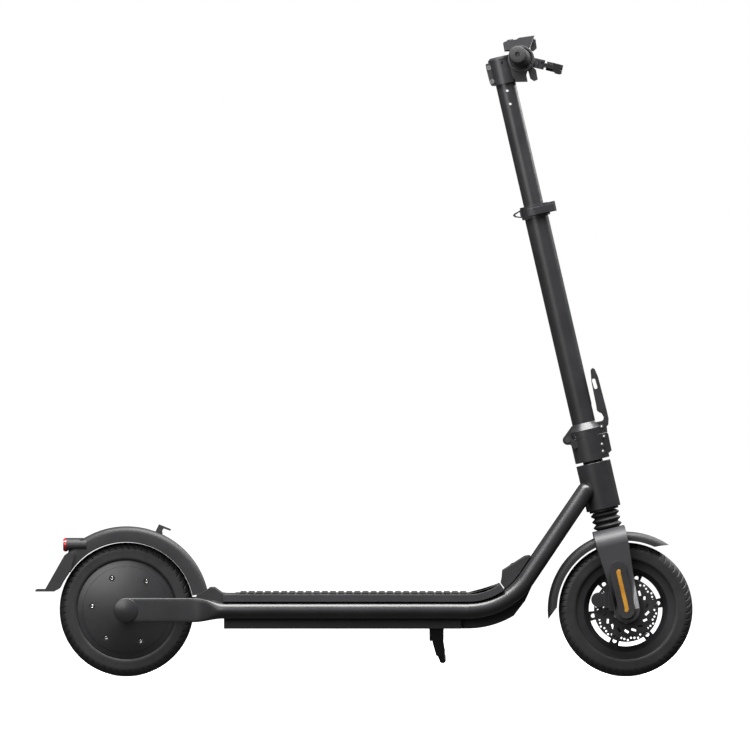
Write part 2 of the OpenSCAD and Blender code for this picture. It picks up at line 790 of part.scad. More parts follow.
// ---- Front wheel ----
spoke_from = 10.8;
module front_rim() {
  color([0.15, 0.15, 0.16]) front_frame() difference() {
    union() {
      wheel_turn() for (m = [0, 1]) mirror([0, m]) polygon([
        [rim_open_r, 0], [rim_open_r, 9], [80, rim_w / 2 - 1], [bead_r, rim_w / 2], [bead_r, 17],
        [bead_r - 3, 15], [bead_r - 6, 0]
      ]);
      ycyl(hub_r, 62);
      for (i = [0:spoke_n - 1]) rotate([0, -(spoke_from + i * 360 / spoke_n), 0]) {
        slab(15) polygon([
          [hub_r - 2, -12], [58, -8], [rim_open_r + 3, -9.5], [rim_open_r + 3, 9.5], [58, 8], [hub_r - 2, 12]
        ]);
      }
    }
    for (i = [0:spoke_n - 1]) rotate([0, -(spoke_from + i * 360 / spoke_n), 0]) translate([63, 0, 0])
      ycyl(4, big);
    ycyl(axle_r + 3, big);
    both_sides() translate([0, 27, 0]) ycyl(14, 12);
    translate([0, 0, -bead_r - 5]) cylinder(r = 4, h = 30);
  }
}
module front_bearings() {
  color("silver") front_frame() both_sides() translate([0, 26.5, 0]) rotate([90, 0, 0])
    difference() {
      cylinder(r = 14, h = 9, center = true);
      cylinder(r = axle_r + run_gap, h = 20, center = true);
    }
}
slot_n = 18;
vent_n = 54;
function vent_r(i) = 53.7 + [0, 1.5, 3.7][i % 3];
module brake_rotor() {
  color([0.3, 0.3, 0.31]) front_frame() translate([0, rotor_y, 0]) difference() {
    union() {
      ycyl(rotor_r, rotor_t);
      translate([0, 5.6, 0]) ycyl(30, 8.8);
    }
    translate([0, 0, 0]) ycyl(axle_r + 4, 40);
    for (i = [0:slot_n - 1]) rotate([0, 9 - i * 360 / slot_n, 0]) translate([40.5, 0, 0])
      rotate([0, -55, 0]) translate([-4.7, -10, -2]) cube([9.4, 20, 4]);
    for (i = [0:vent_n - 1]) rotate([0, -(i * 360 / vent_n), 0]) translate([vent_r(i), 0, 0])
      ycyl(1.9, 20);
    rotor_bolt_places() ycyl(2.5, 20);
  }
}
module rotor_bolt_places() {
  for (i = [0:5]) rotate([0, -(30 + i * 60), 0]) translate([22, 0, 0]) children();
}
module rotor_bolts() {
  color("silver") front_frame() rotor_bolt_places() translate([0, rotor_y, 0]) difference() {
    union() {
      ycyl(2.5, 6, 1.8);
      ycyl(4.2, 2.6, -rotor_t / 2 - 1.3);
    }
    translate([0, -3.5, 0]) rotate([90, 0, 0]) cylinder(r = 1.6, h = 3, $fn = 6, center = true);
  }
}

// ---- Stem ----
module stem_tube() {
  color([0.2, 0.2, 0.21]) steer_frame() difference() {
    union() {
      translate([0, 0, flange_low]) cylinder(r = head_r, h = flange_high - flange_low);
      translate([0, 0, flange_high]) cylinder(r1 = head_r, r2 = stem_r, h = taper_high - flange_high);
      translate([0, 0, taper_high]) cylinder(r = stem_r, h = stem_top - taper_high);
      translate([fold_f, 0, fold_s]) ycyl(knuckle_r, 2 * knuckle_half);
      slab(2 * knuckle_half) polygon([
        [fold_f - 6.4, fold_s + 6.3], [-24, taper_high - 1], [-19, taper_high], [-19, flange_low + 6],
        [fold_f + 6, flange_low]
      ]);
      slab(2 * bracket_half) {
        translate([lever_f, lever_s]) circle(r = 9.6);
        polygon([
          [10, flange_low], [39.4, flange_low], [40.8, lever_s], [lever_f, lever_s + 9.6], [10, lever_s + 9.6]
        ]);
      }
    }
    translate([0, 0, flange_high + 4]) cylinder(r = upper_r + run_gap, h = big * 2);
    translate([fold_f, 0, fold_s]) ycyl(fold_pin_r + run_gap, big);
    // room for the base's lugs and for the lever's cam end
    both_sides() translate([fold_f, (knuckle_half + lug_outer + 1) / 2 + 0.4, fold_s])
      ycyl(knuckle_r + 0.6, lug_outer + 1 - knuckle_half);
    translate([lever_f - cam_r - body_gap, -slot_half, flange_low - 1]) cube([60, 2 * slot_half, 60]);
    translate([lever_f, 0, lever_s]) ycyl(latch_pin_r, big);
  }
}
module stem_collar() {
  mid = (collar_low + collar_high) / 2;
  color([0.16, 0.16, 0.17]) steer_frame() difference() {
    union() {
      translate([0, 0, collar_low]) cylinder(r = stem_r + 4.6, h = collar_high - collar_low);
      translate([18, -11, collar_low + 4]) cube([22.4, 22, collar_high - collar_low - 5]);
      slab(12) polygon([
        [-43, mid + 1], [-40.6, mid + 4], [-18, collar_high - 1], [-18, collar_low + 1.5], [-39.6, mid - 3]
      ]);
    }
    slab(20) polygon([[-38.6, mid + 1.5], [-29, mid + 5], [-29, mid - 4.6], [-37, mid - 1.2]]);
    translate([0, 0, collar_low - 1]) cylinder(r = stem_r, h = stem_top - collar_low + 1);
    translate([0, 0, stem_top - eps]) cylinder(r = upper_r + body_gap, h = 60);
    translate([15, -2, collar_low - 1]) cube([60, 4, 60]);
    translate([quick_f, 0, mid]) ycyl(3.2, big);
  }
}
module lever_pin() {
  mid = (collar_low + collar_high) / 2;
  color("silver") steer_frame() {
    translate([lever_f, 0, lever_s]) difference() {
      ycyl(latch_pin_r, 2 * bracket_half + 2);
      ycyl(1.8, big);
    }
    translate([quick_f, 0, mid]) {
      translate([0, 1, 0]) ycyl(3.2, 24);
      translate([0, 13, 0]) ycyl(6, 4);
    }
  }
}
module latch_lever() {
  color([0.2, 0.2, 0.21]) steer_frame() difference() {
    slab(2 * slot_half - 0.8) difference() {
      union() {
        polygon([
          [39.1, 461.6], [34.8, 458], [31.6, 437], [30.8, 417], [30.3, 393], [29.4, 380.5], [32.4, 376.4],
          [36.8, 373], [39, 366], [37.8, 361.3], [33.2, 358.5], [27.4, 357], [37.4, 342], [40.4, 346.5],
          [44.6, 350], [47.6, 361], [47.6, 377], [47, 401], [45.8, 443], [42.8, 458.6]
        ]);
        translate([lever_f, lever_s]) circle(r = cam_r);
      }
      translate([36.2, 437.6]) circle(r = 3.4);
      translate([37, 424.2]) circle(r = 3.4);
      polygon([[32.8, 437.6], [39.6, 437.6], [40.4, 424.2], [33.6, 424.2]]);
    }
    translate([lever_f, 0, lever_s]) ycyl(latch_pin_r + run_gap, big);
  }
}
module collar_lever() {
  mid = (collar_low + collar_high) / 2;
  in_r = stem_r + 4.6 + 1;
  color([0.25, 0.25, 0.26]) steer_frame() translate([0, 0, mid - 7]) {
    translate([quick_f, quick_y, 0]) cylinder(r = 6, h = 14);
    rotate_extrude(angle = 62, start = -118) translate([in_r, 0]) square([5, 14]);
    linear_extrude(14) polygon([
      polar(in_r + 0.4, -57), polar(in_r + 4.9, -57), [quick_f, quick_y - 5.9], [quick_f, quick_y + 5]
    ]);
  }
}

// ---- Upper stem and handlebar ----
module upper_tube() {
  color([0.2, 0.2, 0.21]) steer_frame() difference() {
    translate([0, 0, upper_low]) cylinder(r = upper_r, h = head_clamp_high - 4 - upper_low);
    translate([0, 0, upper_low - 1]) cylinder(r = upper_r - upper_wall, h = big * 2);
    for (m = [-0.5, 0.5]) translate([0, 0, cross_s + m * cross_hole_pitch]) ycyl(cross_hole_r, big);
  }
}
module stem_head() {
  color([0.18, 0.18, 0.19]) steer_frame() difference() {
    union() {
      translate([0, 0, head_clamp_low]) cylinder(r = upper_r + 4.4, h = head_clamp_high - head_clamp_low - 4);
      translate([0, 0, head_clamp_high - 4]) cylinder(r1 = upper_r + 4.4, r2 = upper_r, h = 4);
      slab(36) polygon([
        [upper_r + 0.5, head_clamp_low], [upper_r + 0.5, 1023.6], [41.4, 1019], [41.8, 1031], [bar_f + 14, bar_s - 12],
        [bar_f, bar_s + 18], [14, 1076], [0, 1076]
      ]);
      translate([bar_f, 0, bar_s]) ycyl(19.5, 46);
      slab(22) polygon([
        [clamp_bolt_f - 4, 1069], [clamp_bolt_f - 5, 1062], [clamp_bolt_f - 4.4, 1033],
        [clamp_bolt_f - 2, 1026], [-12, 1026], [-12, 1070]
      ]);
    }
    translate([0, 0, head_clamp_low - 1]) cylinder(r = upper_r, h = head_clamp_high - 4 - head_clamp_low + 1);
    translate([bar_f, 0, bar_s]) ycyl(bar_centre_r, big);
    translate([-40, -1.5, head_clamp_low - 1]) cube([30, 3, 53]);
    for (s = clamp_bolts) translate([clamp_bolt_f, 0, s]) {
      ycyl(2.6, big);
      both_sides() translate([0, 12, 0]) ycyl(4.6, 6);
    }
    translate([2, -30, 1064]) rotate([-90, 0, 0]) cylinder(r = 2.2, h = 20);
  }
}
bar_centre_r = 15.9;
module stem_bolts() {
  color("silver") steer_frame() for (s = clamp_bolts) translate([clamp_bolt_f, 0, s]) difference() {
    union() {
      ycyl(2.6, 20);
      both_sides() ycyl(4.4, 3, -10.6);
    }
    both_sides() translate([0, -12, 0]) rotate([90, 0, 0]) cylinder(r = 1.9, h = 3, $fn = 6, center = true);
  }
}

sweep_y = 110;
sweep_run = bar_w / 2 - sweep_y;
sweep_back = 9;
sweep_up = 5;
sweep_l = sqrt(sweep_run * sweep_run + sweep_back * sweep_back + sweep_up * sweep_up);
// Stands at the bar's bend, with Z along the swept end
module bar_end(side) {
  translate([0, side * sweep_y, 0])
    rotate([0, acos(sweep_up / sweep_l), atan2(side * sweep_run, -sweep_back)]) children();
}
module handlebar() {
  color([0.15, 0.15, 0.16]) bar_frame() difference() {
    union() {
      ycyl(bar_r, 2 * sweep_y);
      ycyl(bar_centre_r, 54);
      for (side = [-1, 1]) {
        translate([0, side * sweep_y, 0]) sphere(r = bar_r);
        bar_end(side) cylinder(r = bar_r, h = sweep_l - 4);
      }
    }
    ycyl(bar_r - 2, 2 * sweep_y - 10);
  }
}
module grips() {
  color([0.13, 0.13, 0.13]) bar_frame() for (side = [-1, 1]) bar_end(side)
    translate([0, 0, sweep_l - grip_l]) difference() {
      union() {
        cylinder(r = grip_r, h = grip_l - 1.5);
        translate([0, 0, grip_l - 1.5]) cylinder(r1 = grip_r, r2 = grip_r - 1.5, h = 1.5);
        cylinder(r = grip_r + 2.3, h = 4);
      }
      translate([0, 0, -1]) cylinder(r = bar_r, h = grip_l - 3);
    }
}
module display_housing() {
  color([0.22, 0.22, 0.23]) bar_frame() difference() {
    union() {
      slab(76) polygon([
        [-30, 19], [-33, 34.5], [-26, 37.7], [-9, 40], [-3, 43.5], [26, 47.6], [17.5, 26], [2, 21]
      ]);
      both_sides() slab(9, 32) {
        circle(r = bar_r + 4);
        polygon([[-12, 0], [-14, 26], [12, 26], [12, 0]]);
      }
    }
    ycyl(bar_r, big);
    button_place() cylinder(r = 6 + body_gap, h = 12);
  }
}
module button_place() { translate([-19, -20, 34.4]) rotate([0, -12, 0]) children(); }
module mode_button() {
  color("orange") bar_frame() button_place() translate([0, 0, body_gap + 2]) {
    cylinder(r = 6, h = 3.2);
    translate([0, 0, 3.2]) cylinder(r1 = 6, r2 = 5.2, h = 0.8);
  }
}
module headlight() {
  color([0.9, 0.92, 0.95]) bar_frame() translate([0, 0, 0]) slab(34) polygon([
    [18.4, 27], [24.6, 43], [28.4, 41], [30.6, 24], [24, 18.5], [19, 21]
  ]);
}

lever_tilt = 12;
perch_y = 96;
lever_x = 40;
lever_y = 104;
lever_rise = 5.5;
module lever_frame() { bar_frame() translate([0, 0, lever_rise]) rotate([0, lever_tilt, 0]) children(); }
module brake_perch() {
  color([0.15, 0.15, 0.16]) difference() {
    union() {
      bar_frame() translate([0, perch_y - 2, 0]) ycyl(17, 18);
      lever_frame() {
        translate([8, perch_y - 11, -9]) cube([26, 18, 18]);
        translate([26, perch_y - 4, -9]) cube([14, 14, 18]);
        translate([lever_x, lever_y - 2, -9]) cylinder(r = 8, h = 18);
        translate([24, perch_y - 10, 0]) rotate([90, 0, 0]) cylinder(r = 5, h = 17);
      }
    }
    bar_frame() ycyl(bar_r, big);
    lever_frame() translate([lever_x, lever_y, 0]) {
      cylinder(r = 9.4, h = 8.8, center = true);
      translate([-4, 0, -4.4]) cube([40, 40, 8.8]);
      translate([0, -13, -4.4]) cube([40, 40, 8.8]);
      cylinder(r = 2.5 + run_gap, h = big, center = true);
    }
  }
}
module brake_lever() {
  color([0.25, 0.25, 0.26]) lever_frame() {
    translate([lever_x, lever_y, 0]) {
      cylinder(r = 8.8, h = 8, center = true);
      cylinder(r = 2.5, h = 18, center = true);
    }
    translate([0, 0, -4]) linear_extrude(8) polygon([
      [lever_x + 1, lever_y - 8.6], [lever_x + 24, lever_y + 4], [lever_x + 26, lever_y + 18],
      [lever_x + 12, lever_y + 18], [lever_x - 4, lever_y + 7]
    ]);
    difference() {
      translate([0, 0, -8.5]) linear_extrude(17) {
        polygon([
          [lever_x + 12, lever_y + 17], [lever_x + 24, lever_y + 17], [lever_x + 40, lever_y + 34],
          [lever_x + 44, lever_y + 56], [lever_x + 40, lever_y + 100], [lever_x + 33, lever_y + 100],
          [lever_x + 35, lever_y + 56], [lever_x + 30, lever_y + 38]
        ]);
        translate([lever_x + 36.5, lever_y + 100]) circle(r = 5.5);
      }
      for (y = [46, 62, 78]) translate([lever_x + 39, lever_y + y, 0]) rotate([0, 90, 0])
        cylinder(r = 4, h = 30, center = true);
    }
  }
}
ring_y = -sweep_y - 1;
module throttle_housing() {
  color([0.2, 0.2, 0.21]) bar_frame() bar_end(-1) difference() {
    cylinder(r = ring_r, h = sweep_l - grip_l - 1.5);
    translate([0, 0, sweep_l - grip_l - 8]) cylinder(r = ring_r - 4, h = 20);
    translate([0, 0, -1]) cylinder(r = bar_r + 0.1, h = 60);
  }
}
module throttle_paddle() {
  color([0.14, 0.14, 0.15]) bar_frame() translate([0, ring_y + 12, 0]) difference() {
    union() {
      ycyl(17, 9);
      slab(9) polygon([
        [4, -10], [16, -8], [28, -20], [31, -38], [24, -41], [17, -36], [13, -22], [0, -16]
      ]);
    }
    ycyl(bar_r + run_gap, big);
  }
}

head_tube();
frame_tube_right();
frame_tube_left();
headset_bearings();
battery_tray();
battery_pack();
controller();
deck_plate();
deck_mat();
front_cover();
charge_port();
charge_cap();
rear_block();
rear_fender();
fender_hook();
plate_holder();
tail_lamp_housing();
tail_lamp_lens();
motor_stator();
axle_covers();
kickstand_bracket();
kickstand_leg();
motor_shell();
motor_covers();
cover_screws();
rear_tyre();
steerer_tube();
fold_base();
base_pins();
bellows();
suspension_spring();
fork_legs();
fork_slider();
front_fender();
front_axle();
brake_caliper();
reflector_bases();
reflector_strips();
front_rim();
front_tyre();
front_bearings();
brake_rotor();
rotor_bolts();
stem_tube();
stem_collar();
latch_lever();
lever_pin();
collar_lever();
upper_tube();
stem_head();
stem_bolts();
handlebar();
grips();
display_housing();
headlight();
mode_button();
brake_perch();
brake_lever();
throttle_housing();
throttle_paddle();
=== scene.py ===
import json
import math

import bmesh
import bpy
from mathutils import Matrix, Vector


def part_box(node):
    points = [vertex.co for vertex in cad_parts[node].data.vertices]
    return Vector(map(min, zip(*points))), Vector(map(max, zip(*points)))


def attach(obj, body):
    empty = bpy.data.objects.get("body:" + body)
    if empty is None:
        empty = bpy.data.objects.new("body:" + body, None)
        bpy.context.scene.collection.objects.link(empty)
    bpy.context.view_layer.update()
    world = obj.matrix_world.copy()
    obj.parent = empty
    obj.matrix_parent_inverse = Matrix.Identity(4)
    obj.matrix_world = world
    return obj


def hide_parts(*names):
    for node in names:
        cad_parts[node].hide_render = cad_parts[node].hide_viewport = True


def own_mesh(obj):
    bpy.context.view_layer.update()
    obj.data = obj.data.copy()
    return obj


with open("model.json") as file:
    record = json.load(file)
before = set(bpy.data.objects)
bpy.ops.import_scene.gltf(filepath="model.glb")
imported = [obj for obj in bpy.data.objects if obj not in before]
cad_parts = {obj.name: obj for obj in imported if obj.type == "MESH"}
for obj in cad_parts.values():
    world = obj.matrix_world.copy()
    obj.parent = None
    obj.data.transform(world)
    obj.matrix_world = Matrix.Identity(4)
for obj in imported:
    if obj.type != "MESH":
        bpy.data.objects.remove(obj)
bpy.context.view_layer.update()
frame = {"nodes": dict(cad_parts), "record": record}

mm = 0.001
nodes = frame["nodes"]
bodyOf = {node: body for body, members in frame["record"]["behaviour"]["bodies"].items() for node in members}
slotOf = {part["node"]: part["material_slot"] for part in frame["record"]["subparts"]}
print("stage: frame loaded,", len(nodes), "nodes")


def boxMiddle(name):
    low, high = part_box(name)
    return (low + high) / 2


# where things are: the wheels give the hubs, and the steering axis leans back from the front one
places = {"steerAngle": 13.0, "axisLead": 2.6, "barAhead": 37.4, "barUp": 1060.0}
frontHub = boxMiddle("front_tyre")
rearHub = boxMiddle("rear_tyre")
leanBack = math.radians(places["steerAngle"])
steerUp = Vector((-math.sin(leanBack), 0, math.cos(leanBack)))
steerAhead = Vector((math.cos(leanBack), 0, math.sin(leanBack)))
steerBase = frontHub + steerAhead * places["axisLead"] * mm


def onSteer(ahead, up, side=0.0):
    return steerBase + steerAhead * (ahead * mm) + steerUp * (up * mm) + Vector((0, side * mm, 0))


def turnTo(origin, zWay, xWay):
    z = Vector(zWay).normalized()
    x = (Vector(xWay) - z * z.dot(Vector(xWay))).normalized()
    y = z.cross(x)
    made = Matrix.Identity(4)
    for i, way in enumerate((x, y, z)):
        for k in range(3):
            made[k][i] = way[k]
    made.translation = origin
    return made


barMiddle = onSteer(places["barAhead"], places["barUp"])
steerTurn = turnTo(steerBase, steerUp, steerAhead)


# finishes: each is built from noise on the object's own coordinates, with a painted highlight along the edges
edgeRound = 0.9 * mm
finishes = {
    "satinBlack": dict(base=(0.016, 0.016, 0.0175), light=(0.027, 0.027, 0.029), rough=0.36, spread=0.10,
                       coat=0.45, bump=0.10, grain=1400, wear=0.55, highlightTint=(0.11, 0.11, 0.115), patch=14),
    "flatBlack": dict(base=(0.030, 0.030, 0.032), light=(0.042, 0.042, 0.045), rough=0.46, spread=0.10,
                      coat=0.15, bump=0.10, grain=1200, wear=0.7, highlightTint=(0.16, 0.16, 0.165), patch=12),
    "darkMetal": dict(base=(0.028, 0.028, 0.030), light=(0.045, 0.045, 0.048), rough=0.36, spread=0.10, metal=0.35,
                      coat=0.2, bump=0.08, grain=1600, wear=0.8, highlightTint=(0.2, 0.2, 0.205), patch=20),
    "grainPlastic": dict(base=(0.020, 0.020, 0.0215), light=(0.030, 0.030, 0.032), rough=0.50, spread=0.08,
                         coat=0.0, bump=0.35, grain=1900, wear=0.6, highlightTint=(0.10, 0.10, 0.105), patch=18),
    "trayPlastic": dict(base=(0.024, 0.024, 0.0255), light=(0.034, 0.034, 0.036), rough=0.55, spread=0.08,
                        coat=0.0, bump=0.30, grain=1300, wear=0.4, highlightTint=(0.08, 0.08, 0.082), patch=9),
    "matRubber": dict(base=(0.013, 0.013, 0.0135), light=(0.024, 0.024, 0.025), rough=0.68, spread=0.10,
                      coat=0.0, bump=0.45, grain=1100, wear=0.5, highlightTint=(0.06, 0.06, 0.062), patch=16),
    "bootRubber": dict(base=(0.014, 0.014, 0.0145), light=(0.022, 0.022, 0.023), rough=0.60, spread=0.08,
                       coat=0.0, bump=0.20, grain=900, wear=0.3, highlightTint=(0.05, 0.05, 0.05), patch=30),
    "gripRubber": dict(base=(0.018, 0.018, 0.0185), light=(0.028, 0.028, 0.029), rough=0.64, spread=0.10,
                       coat=0.0, bump=0.40, grain=1500, wear=0.4, highlightTint=(0.07, 0.07, 0.072), patch=30),
    "tyreRubber": dict(base=(0.015, 0.015, 0.0155), light=(0.028, 0.028, 0.029), rough=0.50, spread=0.12,
                       coat=0.0, bump=0.25, grain=800, wear=0.6, highlightTint=(0.075, 0.075, 0.078), patch=22),
    "brushedSteel": dict(base=(0.42, 0.42, 0.43), light=(0.60, 0.60, 0.61), rough=0.30, spread=0.12, metal=1.0,
                         coat=0.0, bump=0.10, grain=1500, wear=0.4, highlightTint=(0.75, 0.75, 0.76), patch=40),
    "brightSteel": dict(base=(0.62, 0.62, 0.63), light=(0.74, 0.74, 0.75), rough=0.16, spread=0.08, metal=1.0,
                        coat=0.0, bump=0.04, grain=1500, wear=0.3, highlightTint=(0.85, 0.85, 0.86), patch=60),
    "rotorSteel": dict(base=(0.055, 0.055, 0.058), light=(0.085, 0.085, 0.088), rough=0.34, spread=0.14, metal=0.7,
                       coat=0.0, bump=0.08, grain=1800, wear=0.3, highlightTint=(0.14, 0.14, 0.145), patch=45),
    "castAlloy": dict(base=(0.36, 0.36, 0.37), light=(0.46, 0.46, 0.47), rough=0.38, spread=0.10, metal=1.0,
                      coat=0.0, bump=0.15, grain=900, wear=0.4, highlightTint=(0.7, 0.7, 0.71), patch=24),
    "cellWrap": dict(base=(0.01, 0.05, 0.22), light=(0.015, 0.07, 0.28), rough=0.28, spread=0.06,
                     coat=0.5, bump=0.10, grain=400, wear=0.1, highlightTint=(0.1, 0.2, 0.5), patch=10),
    "redLens": dict(base=(0.30, 0.008, 0.012), light=(0.42, 0.016, 0.02), rough=0.16, spread=0.05,
                    coat=0.8, bump=0.25, grain=260, wear=0.25, highlightTint=(0.6, 0.08, 0.08), patch=30),
    "amberStrip": dict(base=(0.46, 0.20, 0.02), light=(0.58, 0.29, 0.04), rough=0.24, spread=0.06,
                       coat=0.7, bump=0.30, grain=520, wear=0.25, highlightTint=(0.75, 0.45, 0.1), patch=40),
    "clearLens": dict(base=(0.10, 0.105, 0.11), light=(0.15, 0.155, 0.16), rough=0.10, spread=0.04, clear=0.7,
                      coat=0.6, bump=0.12, grain=200, wear=0.2, highlightTint=(0.3, 0.3, 0.3), patch=30),
    "wireCopper": dict(base=(0.34, 0.12, 0.05), light=(0.46, 0.18, 0.08), rough=0.32, spread=0.1, metal=1.0,
                       coat=0.3, bump=0.3, grain=600, wear=0.2, highlightTint=(0.6, 0.3, 0.15), patch=30),
}


def makeFinish(name, look):
    made = bpy.data.materials.new(name)
    made.use_nodes = True
    tree = made.node_tree
    tree.nodes.clear()

    def add(kind, at, **values):
        node = tree.nodes.new(kind)
        node.location = at
        for key, value in values.items():
            setattr(node, key, value)
        return node

    def join(a, aName, b, bName):
        tree.links.new(a.outputs[aName], b.inputs[bName])

    coords = add("ShaderNodeTexCoord", (-1400, 0))
    patches = add("ShaderNodeTexNoise", (-1150, 200))
    patches.inputs["Scale"].default_value = look["patch"]
    patches.inputs["Detail"].default_value = 6
    patches.inputs["Roughness"].default_value = 0.6
    join(coords, "Object", patches, "Vector")
    grain = add("ShaderNodeTexNoise", (-1150, -150))
    grain.inputs["Scale"].default_value = look["grain"]
    grain.inputs["Detail"].default_value = 3
    join(coords, "Object", grain, "Vector")

    tint = add("ShaderNodeMix", (-700, 250), data_type="RGBA")
    tint.inputs[6].default_value = (*look["base"], 1)
    tint.inputs[7].default_value = (*look["light"], 1)
    spread = add("ShaderNodeMapRange", (-930, 200))
    spread.inputs["From Min"].default_value = 0.32
    spread.inputs["From Max"].default_value = 0.68
    join(patches, "Fac", spread, "Value")
    tree.links.new(spread.outputs["Result"], tint.inputs[0])

    # edges: the rounded normal turns away from the true one only near a corner; there a lighter tint is mixed in as
    # a painted highlight, broken into patches
    rounded = add("ShaderNodeBevel", (-1150, -480), samples=4)
    rounded.inputs["Radius"].default_value = edgeRound
    flat = add("ShaderNodeNewGeometry", (-1150, -640))
    dot = add("ShaderNodeVectorMath", (-930, -520), operation="DOT_PRODUCT")
    join(rounded, "Normal", dot, 0)
    join(flat, "Normal", dot, 1)
    edge = add("ShaderNodeMapRange", (-760, -520))
    edge.inputs["From Min"].default_value = 0.985
    edge.inputs["From Max"].default_value = 0.86
    tree.links.new(dot.outputs["Value"], edge.inputs["Value"])
    patchyHighlight = add("ShaderNodeMath", (-560, -420), operation="MULTIPLY")
    tree.links.new(edge.outputs["Result"], patchyHighlight.inputs[0])
    tree.links.new(spread.outputs["Result"], patchyHighlight.inputs[1])
    highlightStrength = add("ShaderNodeMath", (-400, -420), operation="MULTIPLY")
    highlightStrength.inputs[1].default_value = look["wear"]
    tree.links.new(patchyHighlight.outputs[0], highlightStrength.inputs[0])
    # painted highlight: the lighter tint goes into the colour where the edge mask is high
    highlightMix = add("ShaderNodeMix", (-420, 200), data_type="RGBA")
    highlightMix.inputs[7].default_value = (*look["highlightTint"], 1)
    tree.links.new(highlightStrength.outputs[0], highlightMix.inputs[0])
    tree.links.new(tint.outputs[2], highlightMix.inputs[6])

    rough = add("ShaderNodeMapRange", (-560, -80))
    rough.inputs["To Min"].default_value = max(0.03, look["rough"] - look["spread"])
    rough.inputs["To Max"].default_value = min(1.0, look["rough"] + look["spread"])
    join(grain, "Fac", rough, "Value")
    bump = add("ShaderNodeBump", (-300, -250))
    bump.inputs["Strength"].default_value = look["bump"]
    bump.inputs["Distance"].default_value = 0.0004
    join(grain, "Fac", bump, "Height")

    shader = add("ShaderNodeBsdfPrincipled", (-50, 100))
    out = add("ShaderNodeOutputMaterial", (260, 100))
    tree.links.new(highlightMix.outputs[2], shader.inputs["Base Color"])
    tree.links.new(rough.outputs["Result"], shader.inputs["Roughness"])
    tree.links.new(bump.outputs["Normal"], shader.inputs["Normal"])
    shader.inputs["Metallic"].default_value = look.get("metal", 0.0)
    shader.inputs["Coat Weight"].default_value = look["coat"]
    shader.inputs["Coat Roughness"].default_value = min(0.5, look["rough"] * 0.8)
    shader.inputs["Transmission Weight"].default_value = look.get("clear", 0.0)
    shader.inputs["IOR"].default_value = 1.45
    tree.links.new(shader.outputs["BSDF"], out.inputs["Surface"])
    return made


finish = {name: makeFinish(name, look) for name, look in finishes.items()}
slotFinish = {
    "satin_black": "satinBlack", "dark_metal": "darkMetal", "black_plastic": "grainPlastic",
    "tray_plastic": "trayPlastic", "mat_rubber": "matRubber", "boot_rubber": "bootRubber",
    "grip_rubber": "gripRubber", "tyre": "tyreRubber", "steel": "brushedSteel",
    "bright_steel": "brightSteel", "rotor_steel": "rotorSteel", "alloy": "castAlloy",
    "cell_wrap": "cellWrap", "red_lens": "redLens", "amber": "amberStrip", "lamp_lens": "clearLens",
    "button": "flatBlack", "copper": "wireCopper",
}
finishFor = {name: slotFinish[slotOf[name]] for name in nodes}
for name in ("fork_legs", "deck_plate"):
    finishFor[name] = "flatBlack"
for name, piece in nodes.items():
    piece.data.materials.clear()
    piece.data.materials.append(finish[finishFor[name]])
print("stage: finishes made,", len(finish))


def smoothBy(mesh, angle):
    mesh.polygons.foreach_set("use_smooth", [True] * len(mesh.polygons))
    mesh.set_sharp_from_angle(angle=math.radians(angle))


def settle(name, mesh, body, finishName, stands=(), smooth=38):
    if smooth:
        smoothBy(mesh, smooth)
    piece = bpy.data.objects.new(name, mesh)
    bpy.context.scene.collection.objects.link(piece)
    mesh.materials.clear()
    mesh.materials.append(finish[finishName])
    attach(piece, body)
    if stands:
        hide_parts(*stands)
    return piece


def fromFaces(name, points, faces):
    mesh = bpy.data.meshes.new(name)
    mesh.from_pydata([tuple(p) for p in points], [], faces)
    shape = bmesh.new()
    shape.from_mesh(mesh)
    bmesh.ops.remove_doubles(shape, verts=shape.verts, dist=1e-6)
    bmesh.ops.recalc_face_normals(shape, faces=shape.faces)
    if shape.calc_volume(signed=True) < 0:
        bmesh.ops.reverse_faces(shape, faces=shape.faces)
    shape.to_mesh(mesh)
    shape.free()
    mesh.validate()
    return mesh


# a closed outline (radius, height) turned about z; change may move each point's radius and height
def spinMesh(name, outline, turn, steps=128, change=None, sweep=None):
    points, faces = [], []
    count = len(outline)
    whole = sweep is None
    rings = steps if whole else steps + 1
    for i in range(rings):
        share = i / steps
        for k, (r, h) in enumerate(outline):
            if whole:
                a = share * 2 * math.pi
            else:
                low, high = sweep(r)
                a = math.radians(low + (high - low) * share)
            if change:
                r2, h2 = change(a, k, r, h)
            else:
                r2, h2 = r, h
            points.append(turn @ Vector((r2 * mm * math.cos(a), r2 * mm * math.sin(a), h2 * mm)))
    for i in range(steps):
        j = (i + 1) % rings
        for k in range(count):
            n = (k + 1) % count
            faces.append((i * count + k, j * count + k, j * count + n, i * count + n))
    if not whole:
        faces.append(tuple(range(count)))
        faces.append(tuple(steps * count + k for k in reversed(range(count))))
    return fromFaces(name, points, faces)


# wheels turn about y: z of the turned frame points to the right side, so angles run the same way as seen there
def wheelTurn(hub):
    return turnTo(hub, (0, -1, 0), (1, 0, 0))


def arcPoints(cx, cy, r, a0, a1, count):
    return [(cx + r * math.cos(math.radians(a0 + (a1 - a0) * i / count)),
             cy + r * math.sin(math.radians(a0 + (a1 - a0) * i / count))) for i in range(count + 1)]


# tyres: a rounded casing with slanted sipes cut into each shoulder
tyre = {"outer": 127.0, "half": 27.0, "bead": 94.0, "shoulder": 16.0, "casing": 5.0, "sipes": 60,
        "sipeDepth": 1.5, "sipeWidth": 1.15, "sipeLow": 113.5, "sipeHigh": 125.6, "steps": 720}


